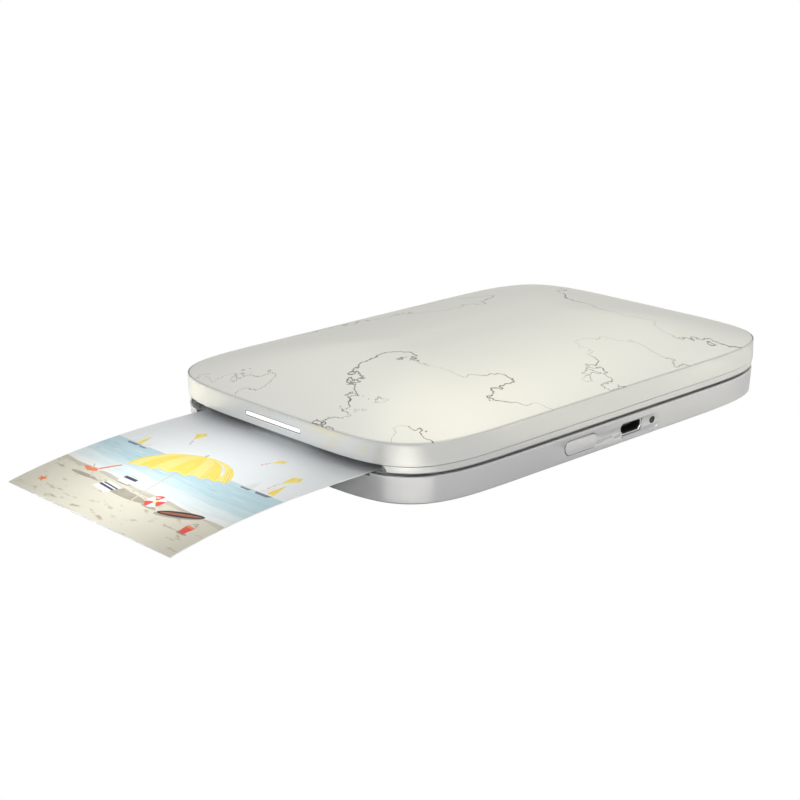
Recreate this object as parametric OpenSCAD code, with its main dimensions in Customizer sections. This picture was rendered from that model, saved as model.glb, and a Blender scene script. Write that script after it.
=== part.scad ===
// Pocket photo printer: two-part casing with a lift-off domed cover, a paper tray,
// a thermal print head over a geared platen roller, and a photo coming out of the front.
// Origin: centre of the pad it stands on. X is the width, Y the length (front is -Y), Z is up.

/* [Casing outline] */
// Width of the casing beside the photo paper, on each side
side_room = 13.3; // [12.6:0.1:16]
// Length of the casing behind the tray
rear_room = 4.75; // [4.6:0.05:7]
// Radius of the rounded corners seen from above, as a share of half the width
corner_share = 0.935; // [0.86:0.005:0.95]
// Squareness of the corners, 2 is a true arc
corner_power = 4.8; // [4:0.1:6]

/* [Casing heights] */
// How far the rubber pad stands below the casing
pad_proud = 0.5; // [0.3:0.1:0.8]
// Height of the curved belly below the visible lower edge
belly_h = 5.7; // [5:0.1:6]
// Height of the lower housing's upright side
side_h = 5.56; // [5.4:0.02:6.2]
// Height of the recessed neck between base and cover
neck_h = 1.98; // [1.8:0.02:2.6]
// Height of the painted band round the cover
band_h = 4.69; // [4.5:0.01:6]
// Rise of the domed top above the band
crown_h = 6.6; // [6.4:0.1:8]

/* [Casing walls] */
// Thickness of the lower housing's side
side_wall = 1.4; // [1.2:0.05:1.6]
// Thickness of the belly
belly_wall = 1.2; // [1:0.05:1.3]
// Distance over which the belly curves in to its flat
belly_run = 26; // [24:0.5:27]
// Thickness of the cover
cover_wall = 1.2; // [1:0.05:1.4]
// Thickness of the frame's floor
deck_t = 1; // [0.8:0.05:1.1]
// Height of the dark line between the frame and the cover
seam_gap = 0.06; // [0.04:0.02:0.2]

/* [Photo paper] */
// Width of a sheet
sheet_w = 53.4; // [50:0.2:53.8]
// Length of a sheet
sheet_l = 80; // [76:0.5:80]
// Thickness of a sheet
sheet_t = 0.22; // [0.18:0.02:0.26]
// How far the photo stands out in front of the casing
sheet_out = 44.1; // [20:0.1:46]
// How far its free end droops
sheet_droop = 3.78; // [1:0.02:4.5]
// Play between a sheet and what it slides along
sheet_play = 0.06; // [0.05:0.01:0.1]
// Inside height of the paper tray
tray_h = 5.1; // [4.8:0.1:5.4]
// Play at the end of a sheet in the tray
tray_end_play = 1; // [0.6:0.1:1.4]

/* [Rollers and gears] */
// Diameter of the platen roller
platen_d = 5.2; // [5:0.1:5.6]
// Diameter of the pick-up tyres
pick_d = 5.8; // [5.6:0.1:6]
// Diameter of the roller shafts
shaft_d = 1.6; // [1.4:0.1:1.8]
// Distance of the nip behind the casing's front
nip_back = 15.75; // [15.5:0.05:16]
// Distance from the nip to the tray
nip_to_tray = 16; // [15.6:0.1:17]
// Gear module
gear_m = 0.4; // [0.4:0.01:0.41]
// Teeth on both roller gears
roller_teeth = 14; // [13:1:15]
// Teeth on each idler
idler_teeth = 20; // [19:1:20]
// Teeth on the large wheel of the drive gear
drive_teeth = 24; // [23:1:24]
// Teeth on the motor pinion
pinion_teeth = 10; // [9:1:11]
// Diameter of the idler axles
axle_d = 1.2; // [1:0.1:1.4]
// Diameter of the feed motor
motor_d = 7; // [6:0.2:7]
// Length of the feed motor
motor_l = 13; // [10:0.5:16]
// Radial running clearance of shafts and axles
run_fit = 0.04; // [0.03:0.01:0.06]

/* [Side controls] */
// Length of the power button
button_l = 9.8; // [8:0.2:10]
// Height of the power button
button_h = 3; // [2.6:0.1:3.2]
// Distance of the button's centre in front of the middle
button_y = 10.4; // [10:0.1:11]
// Travel of the power button
button_travel = 0.5; // [0.3:0.05:0.5]
// Gap round the power button
button_gap = 0.1; // [0.08:0.01:0.15]
// Length of the scooped recess round the socket
scoop_l = 13; // [12:0.2:13.4]
// Height of the scooped recess
scoop_h = 3.9; // [3.6:0.1:4]
// Depth of the scooped recess
scoop_depth = 0.8; // [0.5:0.05:0.9]
// Width of the opening in the charging socket
port_w = 6.3; // [6.2:0.05:6.6]
// Height of the opening in the charging socket
port_h = 2.25; // [2:0.05:2.3]
// Diameter of the charge light
light_d = 1.5; // [1.2:0.1:1.6]
// Length of the status light in the band
bar_l = 17.4; // [12:0.2:20]
// Height of the status light
bar_h = 1; // [0.8:0.1:1.2]

/* [Hidden] */

pearl = "#e9e9de";
silver = "#cfcfcc";
steel = "#b9bcc0";
dark = "#3a3c40";
white_nylon = "#eeeee8";

// the casing is built round the paper and its tray
body_w = sheet_w + 2 * side_room;
body_l = nip_back + nip_to_tray + sheet_l + tray_end_play + rear_room;
corner_r = corner_share * body_w / 2;

// heights of the main levels
edge_z = pad_proud + belly_h;
rim_z = edge_z + side_h;
seam_z = rim_z + neck_h;
crease_z = seam_z + band_h;
bite = 0.6;              // how far one solid reaches into the next where they are one piece
far = 30;                // longer than anything it cuts through
corner_steps = 16;       // outline steps in each corner
touch = 0.02;            // gap between pieces that rest on each other

// The casing seen from above, drawn in by inset on every side: four equal corners
// that are quarter superellipses, joined by straight sides.
function quarter(r, q) = [for (i = [0:corner_steps]) let(a = 90 * (i / corner_steps + q))
  [r * sign(cos(a)) * pow(abs(cos(a)), 2 / corner_power),
   r * sign(sin(a)) * pow(abs(sin(a)), 2 / corner_power)]];
function outline(inset) = let(r = corner_r - inset, cx = body_w / 2 - corner_r,
  cy = body_l / 2 - corner_r) [for (q = [0:3]) for (p = quarter(r, q))
  p + [cx * (q == 0 || q == 3 ? 1 : -1), cy * (q < 2 ? 1 : -1)]];

// Skin through outlines at [inset, z] levels, either capped at both ends or closed into a ring.
module loft(levels, ring = false) {
  n = len(outline(0));
  m = len(levels);
  points = [for (l = levels) for (p = outline(l[0])) [p[0], p[1], l[1]]];
  spans = ring ? m : m - 1;
  sides = [for (i = [0:spans - 1]) for (j = [0:n - 1])
    let(a = i * n, b = ((i + 1) % m) * n, k = (j + 1) % n)
    each [[a + j, b + j, b + k], [a + j, b + k, a + k]]];
  caps = ring ? [] : [[for (j = [0:n - 1]) j], [for (j = [n - 1:-1:0]) (m - 1) * n + j]];
  polyhedron(points, concat(sides, caps), convexity = 8);
}
module slab(inset, z, h) {
  translate([0, 0, z]) linear_extrude(h) polygon(outline(inset));
}
module rod_x(x0, x1, y, z, d) {
  translate([x0, y, z]) rotate([0, 90, 0]) cylinder(h = x1 - x0, d = d, $fn = 48);
}
module block(lo, hi) {
  translate(lo) cube(hi - lo);
}
// a slot with round ends that lies along Y, cut or raised along X
module stadium_x(x0, x1, y, z, l, h) {
  rod_x(x0, x1, y - (l - h) / 2, z, h);
  rod_x(x0, x1, y + (l - h) / 2, z, h);
  block([x0, y - (l - h) / 2, z - h / 2], [x1, y + (l - h) / 2, z + h / 2]);
}

// ---- lower housing ----
belly_power = 1.6;
side_draft = 0.3;        // the side leans in this much towards its lower edge
rim_inset = 0.15;
edge_inset = rim_inset + side_draft;
ledge_drop = 0.5;        // the ledge under the neck lies this far below the rim
ledge_w = 2.15;
neck_tongue = 2.4;       // inset of the frame's wall where it enters the housing
boss_d = 3.2;
screw_d = 1.4;
screw_head_d = 2.4;
screw_head_h = 0.7;
screw_l = 5;
pad_w = 24;
pad_l = 60;
pad_seat = 0.3;
function belly_z(d) = edge_z - belly_h * (1 - pow(1 - min(d, belly_run) / belly_run, belly_power));
function floor_z(d) = belly_z(d) + belly_wall;
belly_insets = [1, 2.2, 4, 6.5, 9.5, 13, 17, 21.5, 25.9];

deck_drop = 0.46;        // the frame's floor lies this far below the rim
deck_top = rim_z - deck_drop;
deck_z = deck_top - deck_t;
sheet_z = deck_top + sheet_play;
slot_w = sheet_w + 8.6;  // the slot in the neck
lip_w = sheet_w + 3.6;   // the rim dips below it where the photo comes out
lip_drop = 0.66;

board_t = 1;
port_shell = 0.3;
port_rise = 2.83;        // height of the socket and of the button above the lower edge
button_rise = 2.7;
port_z = edge_z + port_rise;
port_y = 5.75;
board_z = port_z - port_h / 2 - port_shell - board_t;
scoop_y = 7.6;
button_z = edge_z + button_rise;
light_y = 12.7;
channel_h = 1.3;
channel_depth = 0.25;
wall_x = body_w / 2 - rim_inset;
inner_x = body_w / 2 - side_wall - edge_inset;

front_screw = [body_w / 2 - 4.7, 34.75 - body_l / 2];
rear_screw = [body_w / 2 - 7.5, body_l / 2 - 28.75];

module at_screws() {
  for (p = [front_screw, rear_screw], s = [-1, 1]) translate([s * p[0], p[1], 0]) children();
}

module lower_housing() {
  outer = concat([for (i = [len(belly_insets) - 1:-1:0])
    [belly_insets[i] + edge_inset, belly_z(belly_insets[i] + edge_inset)]],
    [[edge_inset + 0.25, edge_z + 0.02], [edge_inset, edge_z + 0.3], [rim_inset, rim_z - 0.2],
     [rim_inset + 0.2, rim_z]]);
  inner = concat([for (i = [len(belly_insets) - 1:-1:1])
    [belly_insets[i] + edge_inset, floor_z(belly_insets[i] + edge_inset)]],
    [[side_wall + edge_inset, edge_z + 0.9], [side_wall + rim_inset, deck_z + 0.2]]);
  ledge_z = rim_z - ledge_drop;
  color(silver) difference() {
    loft(outer);
    difference() {
      loft(inner);
      at_screws() cylinder(h = deck_z, d = boss_d, $fn = 32);
      for (p = board_posts) translate([p[0], p[1], 0]) cylinder(h = board_z, d = boss_d, $fn = 32);
      for (y = [battery_y[0] + rib_in - rib_t, battery_y[1] - rib_in])
        block([-battery_x, y, 0], [battery_x, y + rib_t, battery_z]);
    }
    // the ledge that the neck sinks into
    loft([[ledge_w + 0.1, deck_z], [ledge_w + 0.1, ledge_z - 0.1], [ledge_w, ledge_z],
      [rim_inset + 0.5, rim_z - 0.05], [rim_inset + 0.5, rim_z + 1]]);
    at_screws() translate([0, 0, deck_z - screw_l + deck_t]) cylinder(h = far, d = screw_d, $fn = 32);
    // exit lip for the photo
    block([-lip_w / 2, -body_l, rim_z - lip_drop], [lip_w / 2, -body_l / 2 + 4, rim_z + 1]);
    // pad seat
    block([-pad_w / 2, -pad_l / 2, -1], [pad_w / 2, pad_l / 2, pad_proud + pad_seat]);
    // power button, channel, scooped recess and socket
    stadium_x(inner_x - 1, far * 2, -button_y, button_z, button_l + 2 * button_gap,
      button_h + 2 * button_gap);
    block([wall_x - channel_depth, -button_y, button_z - channel_h / 2],
      [far * 2, scoop_y, button_z + channel_h / 2]);
    stadium_x(wall_x - scoop_depth, far * 2, scoop_y, port_z - 0.5, scoop_l, scoop_h);
    block([inner_x - 1, port_y - port_w / 2 - port_shell - 0.1, port_z - port_h / 2 - port_shell - 0.1],
      [far * 2, port_y + port_w / 2 + port_shell + 0.1, port_z + port_h / 2 + port_shell + 0.1]);
    rod_x(inner_x - 1, far * 2, light_y, port_z, light_d + 0.1);
  }
}
module base_pad() {
  color(dark) block([-pad_w / 2 + 0.05, -pad_l / 2 + 0.05, 0],
    [pad_w / 2 - 0.05, pad_l / 2 - 0.05, pad_proud + pad_seat]);
}

// ---- frame with the paper tray ----
neck_inset = 0.35;
neck_under = 1.6;
tray_wall = 1;
tray_play = 0.6;
tray_inset = 2.35;
gate_gap = 0.8;
gate_t = 0.7;
tray_w = sheet_w + 2 * tray_play;
tray_l = sheet_l + tray_end_play;
tray_y = nip_back + nip_to_tray - body_l / 2;
tray_back_y = tray_y + tray_l;
tray_top = deck_top + tray_h;
neck_top = seam_z - seam_gap;

platen_y = -body_l / 2 + nip_back;
platen_z = deck_top - platen_d / 2;
gear_slack = 0.04;       // added to each centre distance so that the teeth run free
function reach(a, b) = gear_m * (a + b) / 2 + gear_slack;
idler_step = reach(idler_teeth, idler_teeth);
idler_rise = 2.3;
roller_step = sqrt(pow(reach(roller_teeth, idler_teeth), 2) - pow(idler_rise, 2));
idler_z = platen_z + idler_rise;
idler_y = [for (i = [0:2]) platen_y + roller_step + i * idler_step];
pick_y = idler_y[2] + roller_step;
pinion_rise = 4.6;
motor_z = idler_z + pinion_rise;
motor_y = idler_y[1] - sqrt(pow(reach(drive_teeth, pinion_teeth), 2) - pow(pinion_rise, 2));

plate_t = 0.8;
plate_x = tray_w / 2 + tray_wall + 0.4;  // inner face of each side plate
plate_out = plate_x + plate_t;
gear_x = plate_out + 0.4;                // inner face of the gear train
gear_w = 1.8;
drive_x = gear_x + gear_w + 0.3;
drive_w = 1.4;
window_x = drive_x + drive_w + 0.6;
window_y = [platen_y - 3.6, pick_y + 3.6];
chassis_y = [window_y[0] - 3.4, window_y[1] + 3.4];
foot_x = 2.7;
foot_hole = foot_x / 2 + 0.2;
roller_room = 0.3;       // gap between the rollers and their windows in the frame

magnet_d = 2.4;
magnet_h = 1.2;
magnet_inset = 2;
magnet_at = let(c = (corner_r - magnet_inset) * pow(cos(45), 2 / corner_power))
  [body_w / 2 - corner_r + c, body_l / 2 - corner_r + c];
module at_magnets() {
  for (sx = [-1, 1], sy = [-1, 1]) translate([sx * magnet_at[0], sy * magnet_at[1], 0]) children();
}
module at_feet() {
  for (sx = [-1, 1], y = [chassis_y[0] + 1.6, chassis_y[1] - 1.6])
    translate([sx * (plate_out + foot_hole), y, 0]) children();
}

module middle_frame() {
  color("#d9d9d6") difference() {
    union() {
      loft([[neck_inset, neck_top], [3.4, neck_top], [3.4, deck_z], [neck_tongue, deck_z],
        [neck_tongue, rim_z + 0.14], [neck_under, rim_z + 0.18], [0.8, rim_z + 0.55],
        [0.45, rim_z + 1.1]], ring = true);
      slab(2.9, deck_z, deck_t);
      at_feet() translate([0, 0, deck_z - 2]) cylinder(h = 2.2, d = boss_d, $fn = 32);
      // tray walls and the gate that holds back all but the lowest sheet
      intersection() {
        slab(tray_inset, deck_z, far);
        difference() {
          block([-tray_w / 2 - tray_wall, tray_y - gate_t, deck_top - bite / 2],
            [tray_w / 2 + tray_wall, tray_back_y + tray_wall, tray_top]);
          block([-tray_w / 2, tray_y, deck_z - 1], [tray_w / 2, tray_back_y, tray_top + 1]);
          block([-tray_w / 2, tray_y - 2, deck_z - 1], [tray_w / 2, tray_y + 1, deck_top + gate_gap]);
        }
      }
    }
    block([-slot_w / 2, -body_l, deck_top], [slot_w / 2, -body_l / 2 + 5, seam_z + 1]);
    // room for the rollers, the gear train and the side plates
    block([-sheet_w / 2 - roller_room, platen_y - platen_d / 2 - roller_room, deck_z - 1],
      [sheet_w / 2 + roller_room, platen_y + platen_d / 2 + roller_room, deck_top + 1]);
    block([-pick_len / 2 - roller_room, pick_y - pick_d / 2 - roller_room, deck_z - 1],
      [pick_len / 2 + roller_room, pick_y + pick_d / 2 + roller_room, deck_top + 1]);
    block([-window_x, window_y[0], deck_z - 1], [-plate_x + 0.4, window_y[1], deck_top + bite]);
    block([plate_x - 0.4, window_y[0], deck_z - 1], [plate_out + 0.2, window_y[1], deck_top + bite]);
    // notches over the charging socket and behind the power button
    block([inner_x - 6, port_y - port_w / 2 - port_shell - 0.2, deck_z - 1],
      [far * 2, port_y + port_w / 2 + port_shell + 0.2, port_z + port_h / 2 + port_shell + 0.1]);
    block([inner_x - 2, -button_y - button_l / 2 - 1, deck_z - 1],
      [inner_x + 0.2, -button_y + button_l / 2 + 1, button_z + button_h / 2 + 0.2]);
    block([sensor_at[0] - 1.6, sensor_at[1] - 1.1, deck_top - 0.5],
      [sensor_at[0] + 1.6, sensor_at[1] + 1.1, deck_top + 1]);
    at_screws() translate([0, 0, deck_z - 1]) cylinder(h = far, d = screw_d, $fn = 32);
    at_feet() translate([0, 0, deck_z - 1.8]) cylinder(h = far, d = 1, $fn = 24);
    at_magnets() translate([0, 0, neck_top - magnet_h]) cylinder(h = far, d = magnet_d, $fn = 32);
  }
}
module housing_screws() {
  color(steel) at_screws() {
    translate([0, 0, deck_top - screw_l]) cylinder(h = screw_l, d = screw_d, $fn = 32);
    difference() {
      translate([0, 0, deck_top]) cylinder(h = screw_head_h, d = screw_head_d, $fn = 32);
      for (a = [0, 90]) translate([0, 0, deck_top + screw_head_h]) rotate(a) cube([1.3, 0.3, 0.6], true);
    }
  }
}
module frame_magnets() {
  color(steel) at_magnets() translate([0, 0, neck_top - magnet_h])
    cylinder(h = magnet_h - 0.05, d = magnet_d, $fn = 32);
}

// ---- electrics in the base ----
board_x = body_w / 2 - 28;               // inner edge of the main board
board_back = light_y + 1.3;
board_front = chassis_y[1] - 0.5;
post_in = 3;                             // the board's posts stand this far inside its edges
board_posts = [[board_x + post_in, board_back - post_in - 1], [board_x + post_in, board_front + post_in],
  [body_w / 2 - 6.5, board_back - post_in]];
battery_side = 19;                       // room beside the battery and behind it
battery_end = 12.75;
battery_x = body_w / 2 - battery_side;
battery_y = [board_back + 1.5, body_l / 2 - battery_end];
battery_z = 4.7;
rib_in = 4;                              // the ribs under the battery stand this far inside its ends
rib_t = 2;
module battery() {
  lead_x = [board_x - 9, board_x - 3];
  color("#b8bcc2") difference() {
    block([-battery_x, battery_y[0], battery_z], [battery_x, battery_y[1], deck_z - 0.4]);
    for (s = [-1, 1], z = [battery_z, deck_z - 0.4]) translate([s * battery_x, 0, z])
      rotate([0, 45, 0]) cube([0.9, far * 4, 0.9], true);
  }
  // protection board wrapped in tape at the end of the cell
  color("#8a6b2a") block([lead_x[0], battery_y[0] - 2, battery_z + 1],
    [lead_x[1], battery_y[0], deck_z - 1.2]);
}
module main_board() {
  tongue_x = plate_out + 0.6;
  edge_x = inner_x - 1.8;
  tongue_y = -button_y - 6.2;
  color("#2f6b45") difference() {
    translate([0, 0, board_z]) linear_extrude(board_t) polygon([[board_x, board_front],
      [tongue_x, board_front], [tongue_x, tongue_y], [edge_x, tongue_y], [edge_x, board_back],
      [board_x, board_back]]);
    for (p = board_posts) translate([p[0], p[1], 0]) cylinder(h = far, d = 1, $fn = 24);
  }
  // chips, sat on the board: place from its inner front corner, and size
  color(dark) for (c = [[[7, 6.5], [6, 6, 0.9]], [[5, 16], [3, 3, 0.7]], [[15.8, 2], [3.4, 4, 0.8]],
    [[3, 4.5], [2, 4, 0.6]]]) translate([board_x, board_front, board_z + board_t - 0.01]) translate(c[0])
      cube(c[1]);
}
module usb_socket() {
  front = wall_x - scoop_depth - 0.05;
  w = port_w + 2 * port_shell;
  h = port_h + 2 * port_shell;
  color(steel) difference() {
    block([front - 5.4, port_y - w / 2, port_z - h / 2], [front, port_y + w / 2, port_z + h / 2]);
    difference() {
      block([front - 5, port_y - port_w / 2, port_z - port_h / 2],
        [front + 1, port_y + port_w / 2, port_z + port_h / 2]);
      // the lower corners slope, so that a plug goes in one way only
      for (s = [-1, 1]) translate([front, port_y + s * port_w / 2, port_z - port_h / 2])
        rotate([45, 0, 0]) cube([far, 1.1, 1.1], true);
      block([front - 5, port_y - port_w / 2 + 1.3, port_z - 0.1],
        [front - 0.8, port_y + port_w / 2 - 1.3, port_z + 0.45]);
    }
  }
}
switch_x = inner_x - 1.9 - button_travel;
module power_switch() {
  z = board_z + board_t;
  color(dark) block([switch_x - 2, -button_y - 2.2, z], [switch_x, -button_y + 2.2, button_z + 1.4]);
  color(white_nylon) rod_x(switch_x - 0.2, switch_x + 0.8, -button_y, button_z, 1.6);
}
module charge_light() {
  color("#202224") {
    rod_x(inner_x - 1.4, wall_x - scoop_depth - 0.15, light_y, port_z, light_d);
    block([inner_x - 3, light_y - 1.1, board_z + board_t], [inner_x - 1.4, light_y + 1.1, port_z + 1.1]);
  }
}
cap_x = wall_x - 0.12;
module power_button() {
  skirt_x = [inner_x - 0.9, inner_x - 0.1];
  color(silver) {
    stadium_x(skirt_x[0], cap_x, -button_y, button_z, button_l, button_h);
    stadium_x(skirt_x[0], skirt_x[1], -button_y, button_z, button_l + 1.4, button_h);
  }
}

// ---- print mechanism ----
bridge_z = deck_top + 5.7;
bridge_y = [platen_y - 4.5, platen_y + 1.5];
head_front = platen_y - 3.4;
head_back = platen_y + 3.4;
head_z = sheet_z + sheet_t + 0.1;
head_t = 0.7;
sink_z = head_z + head_t;
sink_t = 1;
fin_h = 2;
pivot_y = platen_y + 4.4;
pivot_z = sink_z + 1.2;
pivot_d = 1.2;
spring_x = 18;
spring_y = platen_y - 1;

module plate_side() {
  difference() {
    rotate([90, 0, 90]) linear_extrude(plate_t) polygon([[chassis_y[0], deck_top],
      [window_y[0] + 0.3, deck_top], [window_y[0] + 0.3, platen_z - 1.7],
      [window_y[1] - 0.3, platen_z - 1.7], [window_y[1] - 0.3, deck_top], [chassis_y[1], deck_top],
      [chassis_y[1], deck_top + 1.9], [idler_y[2] + 3, deck_top + 1.9], [motor_y + 3.6, bridge_z + 1],
      [motor_y + 1.8, motor_z + 2.6], [motor_y - 2.6, motor_z + 2.6], [motor_y - 4, bridge_z + plate_t],
      [bridge_y[0], bridge_z + plate_t], [chassis_y[0], deck_top + 2.4]]);
    rod_x(-1, 2, platen_y, platen_z, 3);
    rod_x(-1, 2, pick_y, platen_z, 3);
    rod_x(-1, 2, pivot_y, pivot_z, pivot_d + 2 * run_fit);
  }
}
module print_chassis() {
  color(steel) difference() {
    union() {
      translate([plate_x, 0, 0]) plate_side();
      translate([-plate_out, 0, 0]) difference() {
        plate_side();
        for (y = idler_y) rod_x(-1, 2, y, idler_z, axle_d);
        rod_x(-1, 2, motor_y, motor_z, motor_boss_d);
      }
      // bridge over the print head, with the tongue that carries the light board
      block([-plate_out, bridge_y[0], bridge_z], [plate_out, bridge_y[1], bridge_z + plate_t]);
      block([-6, led_y, bridge_z], [6, bridge_y[0] + bite, bridge_z + plate_t]);
      // feet bent outwards, screwed to the frame
      for (s = [-1, 1], y = [[chassis_y[0], chassis_y[0] + 3.2], [chassis_y[1] - 3.2, chassis_y[1]]])
        block([s > 0 ? plate_x : -plate_out - foot_x, y[0], deck_top],
          [s > 0 ? plate_out + foot_x : -plate_x, y[1], deck_top + plate_t]);
    }
    at_feet() translate([0, 0, deck_top - 1]) cylinder(h = 3, d = 1, $fn = 24);
    for (s = [-1, 1]) translate([s * 10, platen_y - 1.5, bridge_z - 1]) cylinder(h = 3, d = 2.6, $fn = 32);
  }
}
module chassis_screws() {
  color(steel) at_feet() {
    translate([0, 0, deck_z - 1.5]) cylinder(h = deck_t + 1.5 + plate_t, d = 1, $fn = 24);
    difference() {
      translate([0, 0, deck_top + plate_t]) cylinder(h = 0.6, d = 2, $fn = 32);
      for (a = [0, 90]) translate([0, 0, deck_top + plate_t + 0.6]) rotate(a) cube([1.1, 0.28, 0.5], true);
    }
  }
}
module shaft_bushes() {
  color("#b08d57") for (s = [-1, 1], y = [platen_y, pick_y]) difference() {
    union() {
      rod_x(s > 0 ? plate_x : -plate_out, s > 0 ? plate_out : -plate_x, y, platen_z, 3);
      rod_x(s > 0 ? plate_x - 0.3 : -plate_x, s > 0 ? plate_x : -plate_x + 0.3, y, platen_z, 3.6);
    }
    rod_x(-plate_out - 1, plate_out + 1, y, platen_z, shaft_d + 2 * run_fit);
  }
}
module idler_axles() {
  color(steel) for (i = [0:2]) {
    tip = i == 1 ? drive_x + drive_w + 0.3 : gear_x + gear_w + 0.2;
    rod_x(-tip, -plate_x, idler_y[i], idler_z, axle_d);
  }
}
motor_shaft_d = 1;
motor_boss_d = 3;
module feed_motor() {
  color("#9fa3a8") difference() {
    union() {
      rod_x(-plate_x, -plate_x + motor_l, motor_y, motor_z, motor_d);
      rod_x(-plate_out, -plate_x, motor_y, motor_z, motor_boss_d);
      rod_x(-plate_x + motor_l, -plate_x + motor_l + 1, motor_y, motor_z, motor_boss_d);
    }
    rod_x(-plate_out - 1, -plate_x + motor_l - 2, motor_y, motor_z, motor_shaft_d + 2 * run_fit);
  }
}
led_y = -body_l / 2 + 4.1;
bar_z = seam_z + 2.15;
module led_board() {
  color("#2f6b45") block([-bar_l / 2 - 1, led_y, bar_z - 1.4], [bar_l / 2 + 1, led_y + 0.8, bridge_z]);
  color(white_nylon) for (i = [-1:1]) block([i * 6 - 0.8, led_y - 0.6, bar_z - 0.4],
    [i * 6 + 0.8, led_y, bar_z + 0.4]);
}
sensor_at = [10, platen_y - 5.5];
module paper_sensor() {
  color(dark) block([sensor_at[0] - 1.5, sensor_at[1] - 1, deck_top - 0.5],
    [sensor_at[0] + 1.5, sensor_at[1] + 1, deck_top]);
}
module print_head() {
  color("#e8e4da") block([-sheet_w / 2 + 0.5, head_front, head_z], [sheet_w / 2 - 0.5, head_back, sink_z]);
}
module heat_sink() {
  arm_x = plate_x - 0.3;
  color("#a9adb3") difference() {
    union() {
      block([-arm_x, head_front, sink_z], [arm_x, head_back, sink_z + sink_t]);
      for (y = [0:4]) block([-12, head_front + y * 1.55, sink_z + sink_t - bite],
        [12, head_front + y * 1.55 + 0.6, sink_z + sink_t + fin_h]);
      for (s = [-1, 1]) {
        rod_x(s * (arm_x - 0.6) - 0.6, s * (arm_x - 0.6) + 0.6, pivot_y, pivot_z, 2.4);
        block([s * (arm_x - 0.6) - 0.6, head_back - 1, sink_z],
          [s * (arm_x - 0.6) + 0.6, pivot_y, pivot_z + 1.2]);
        rod_x(s > 0 ? arm_x - bite : -plate_out, s > 0 ? plate_out : -arm_x + bite,
          pivot_y, pivot_z, pivot_d);
      }
    }
    for (s = [-1, 1]) translate([s * 22.5, platen_y, sink_z - 0.01]) cylinder(h = 3, d = 1.6, $fn = 24);
  }
}

// One coil spring as a single tube wound along Z from z0 to z1.
coil_rings = 8;          // rings in each curl
wire_sides = 6;
function coil_point(r, z0, z1, turns, wire, t) = let(a = 360 * turns * t)
  [r * cos(a), r * sin(a), z0 + wire / 2 + (z1 - z0 - wire) * t];
module coil(r, z0, z1, turns, wire) {
  last = round(turns * coil_rings);
  path = [for (i = [0:last]) coil_point(r, z0, z1, turns, wire, i / last)];
  rings = [for (i = [0:last]) let(a = 360 * turns * i / last) for (k = [0:wire_sides - 1])
    let(b = 360 * k / wire_sides) path[i] + wire / 2 * [cos(b) * cos(a), cos(b) * sin(a), sin(b)]];
  n = wire_sides;
  polyhedron(rings, concat([[for (k = [0:n - 1]) k]], [[for (k = [n - 1:-1:0]) last * n + k]],
    [for (i = [0:last - 1]) for (k = [0:n - 1]) let(m = (k + 1) % n)
      each [[i * n + k, (i + 1) * n + k, (i + 1) * n + m], [i * n + k, (i + 1) * n + m, i * n + m]]]),
    convexity = 6);
  echo(spring_gap = (z1 - z0 - wire) / turns - wire);
}
head_wire = 0.35;
head_spring_r = 1.2;
module head_springs() {
  color(steel) for (s = [-1, 1]) translate([s * spring_x, spring_y, 0])
    coil(head_spring_r, sink_z + sink_t + touch, bridge_z - touch, 3, head_wire);
}

// ---- rollers ----
pick_len = 22;
module platen_shaft() {
  color(steel) rod_x(-gear_x - gear_w - 0.1, plate_out + 0.3, platen_y, platen_z, shaft_d);
}
module platen_rubber() {
  color(dark) difference() {
    rod_x(-sheet_w / 2, sheet_w / 2, platen_y, platen_z, platen_d);
    rod_x(-far * 2, far * 2, platen_y, platen_z, shaft_d);
  }
}
module pick_shaft() {
  color(steel) rod_x(-gear_x - gear_w - 0.1, plate_out + 0.3, pick_y, platen_z, shaft_d);
}
module pick_tyres() {
  color(dark) for (s = [-1, 1]) difference() {
    rod_x(s * pick_len / 4 - 4, s * pick_len / 4 + 4, pick_y, platen_z, pick_d);
    rod_x(-far * 2, far * 2, pick_y, platen_z, shaft_d);
  }
}

// Involute gear across X with its first tooth at angle first, measured in the Y-Z plane.
pressure = 20;
tip_add = 0.9;
root_ded = 1.15;
backlash = 0.05;
flank_steps = 3;
function involute(a) = tan(a) - a * PI / 180;
function half_tooth(z, r) = let(rp = gear_m * z / 2, rb = rp * cos(pressure), q = max(r, rb))
  90 / z - (backlash / (2 * rp)) * 180 / PI
  + (involute(pressure) - involute(acos(min(rb / q, 1)))) * 180 / PI;
function tooth(z, c) = let(rp = gear_m * z / 2, rb = rp * cos(pressure),
  ra = rp + tip_add * gear_m, rf = rp - root_ded * gear_m, lo = max(rb, rf),
  rs = concat(rf < rb ? [rf] : [], [for (k = [0:flank_steps - 1]) lo + (ra - lo) * k / (flank_steps - 1)]),
  n = len(rs))
  [for (k = [0:2 * n - 1]) let(r = rs[k < n ? k : 2 * n - 1 - k],
    a = c + (k < n ? -1 : 1) * half_tooth(z, r)) [r * cos(a), r * sin(a)]];
module gear(x0, w, y, z, teeth, bore, first) {
  translate([x0, y, z]) rotate([90, 0, 90]) difference() {
    linear_extrude(w) polygon([for (i = [0:teeth - 1]) each tooth(teeth, first + 360 * i / teeth)]);
    translate([0, 0, -1]) cylinder(h = w + 2, d = bore, $fn = 48);
  }
}
// angle of the line from one centre to the next
function line_angle(a, b) = atan2(b[1] - a[1], b[0] - a[0]);
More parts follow.
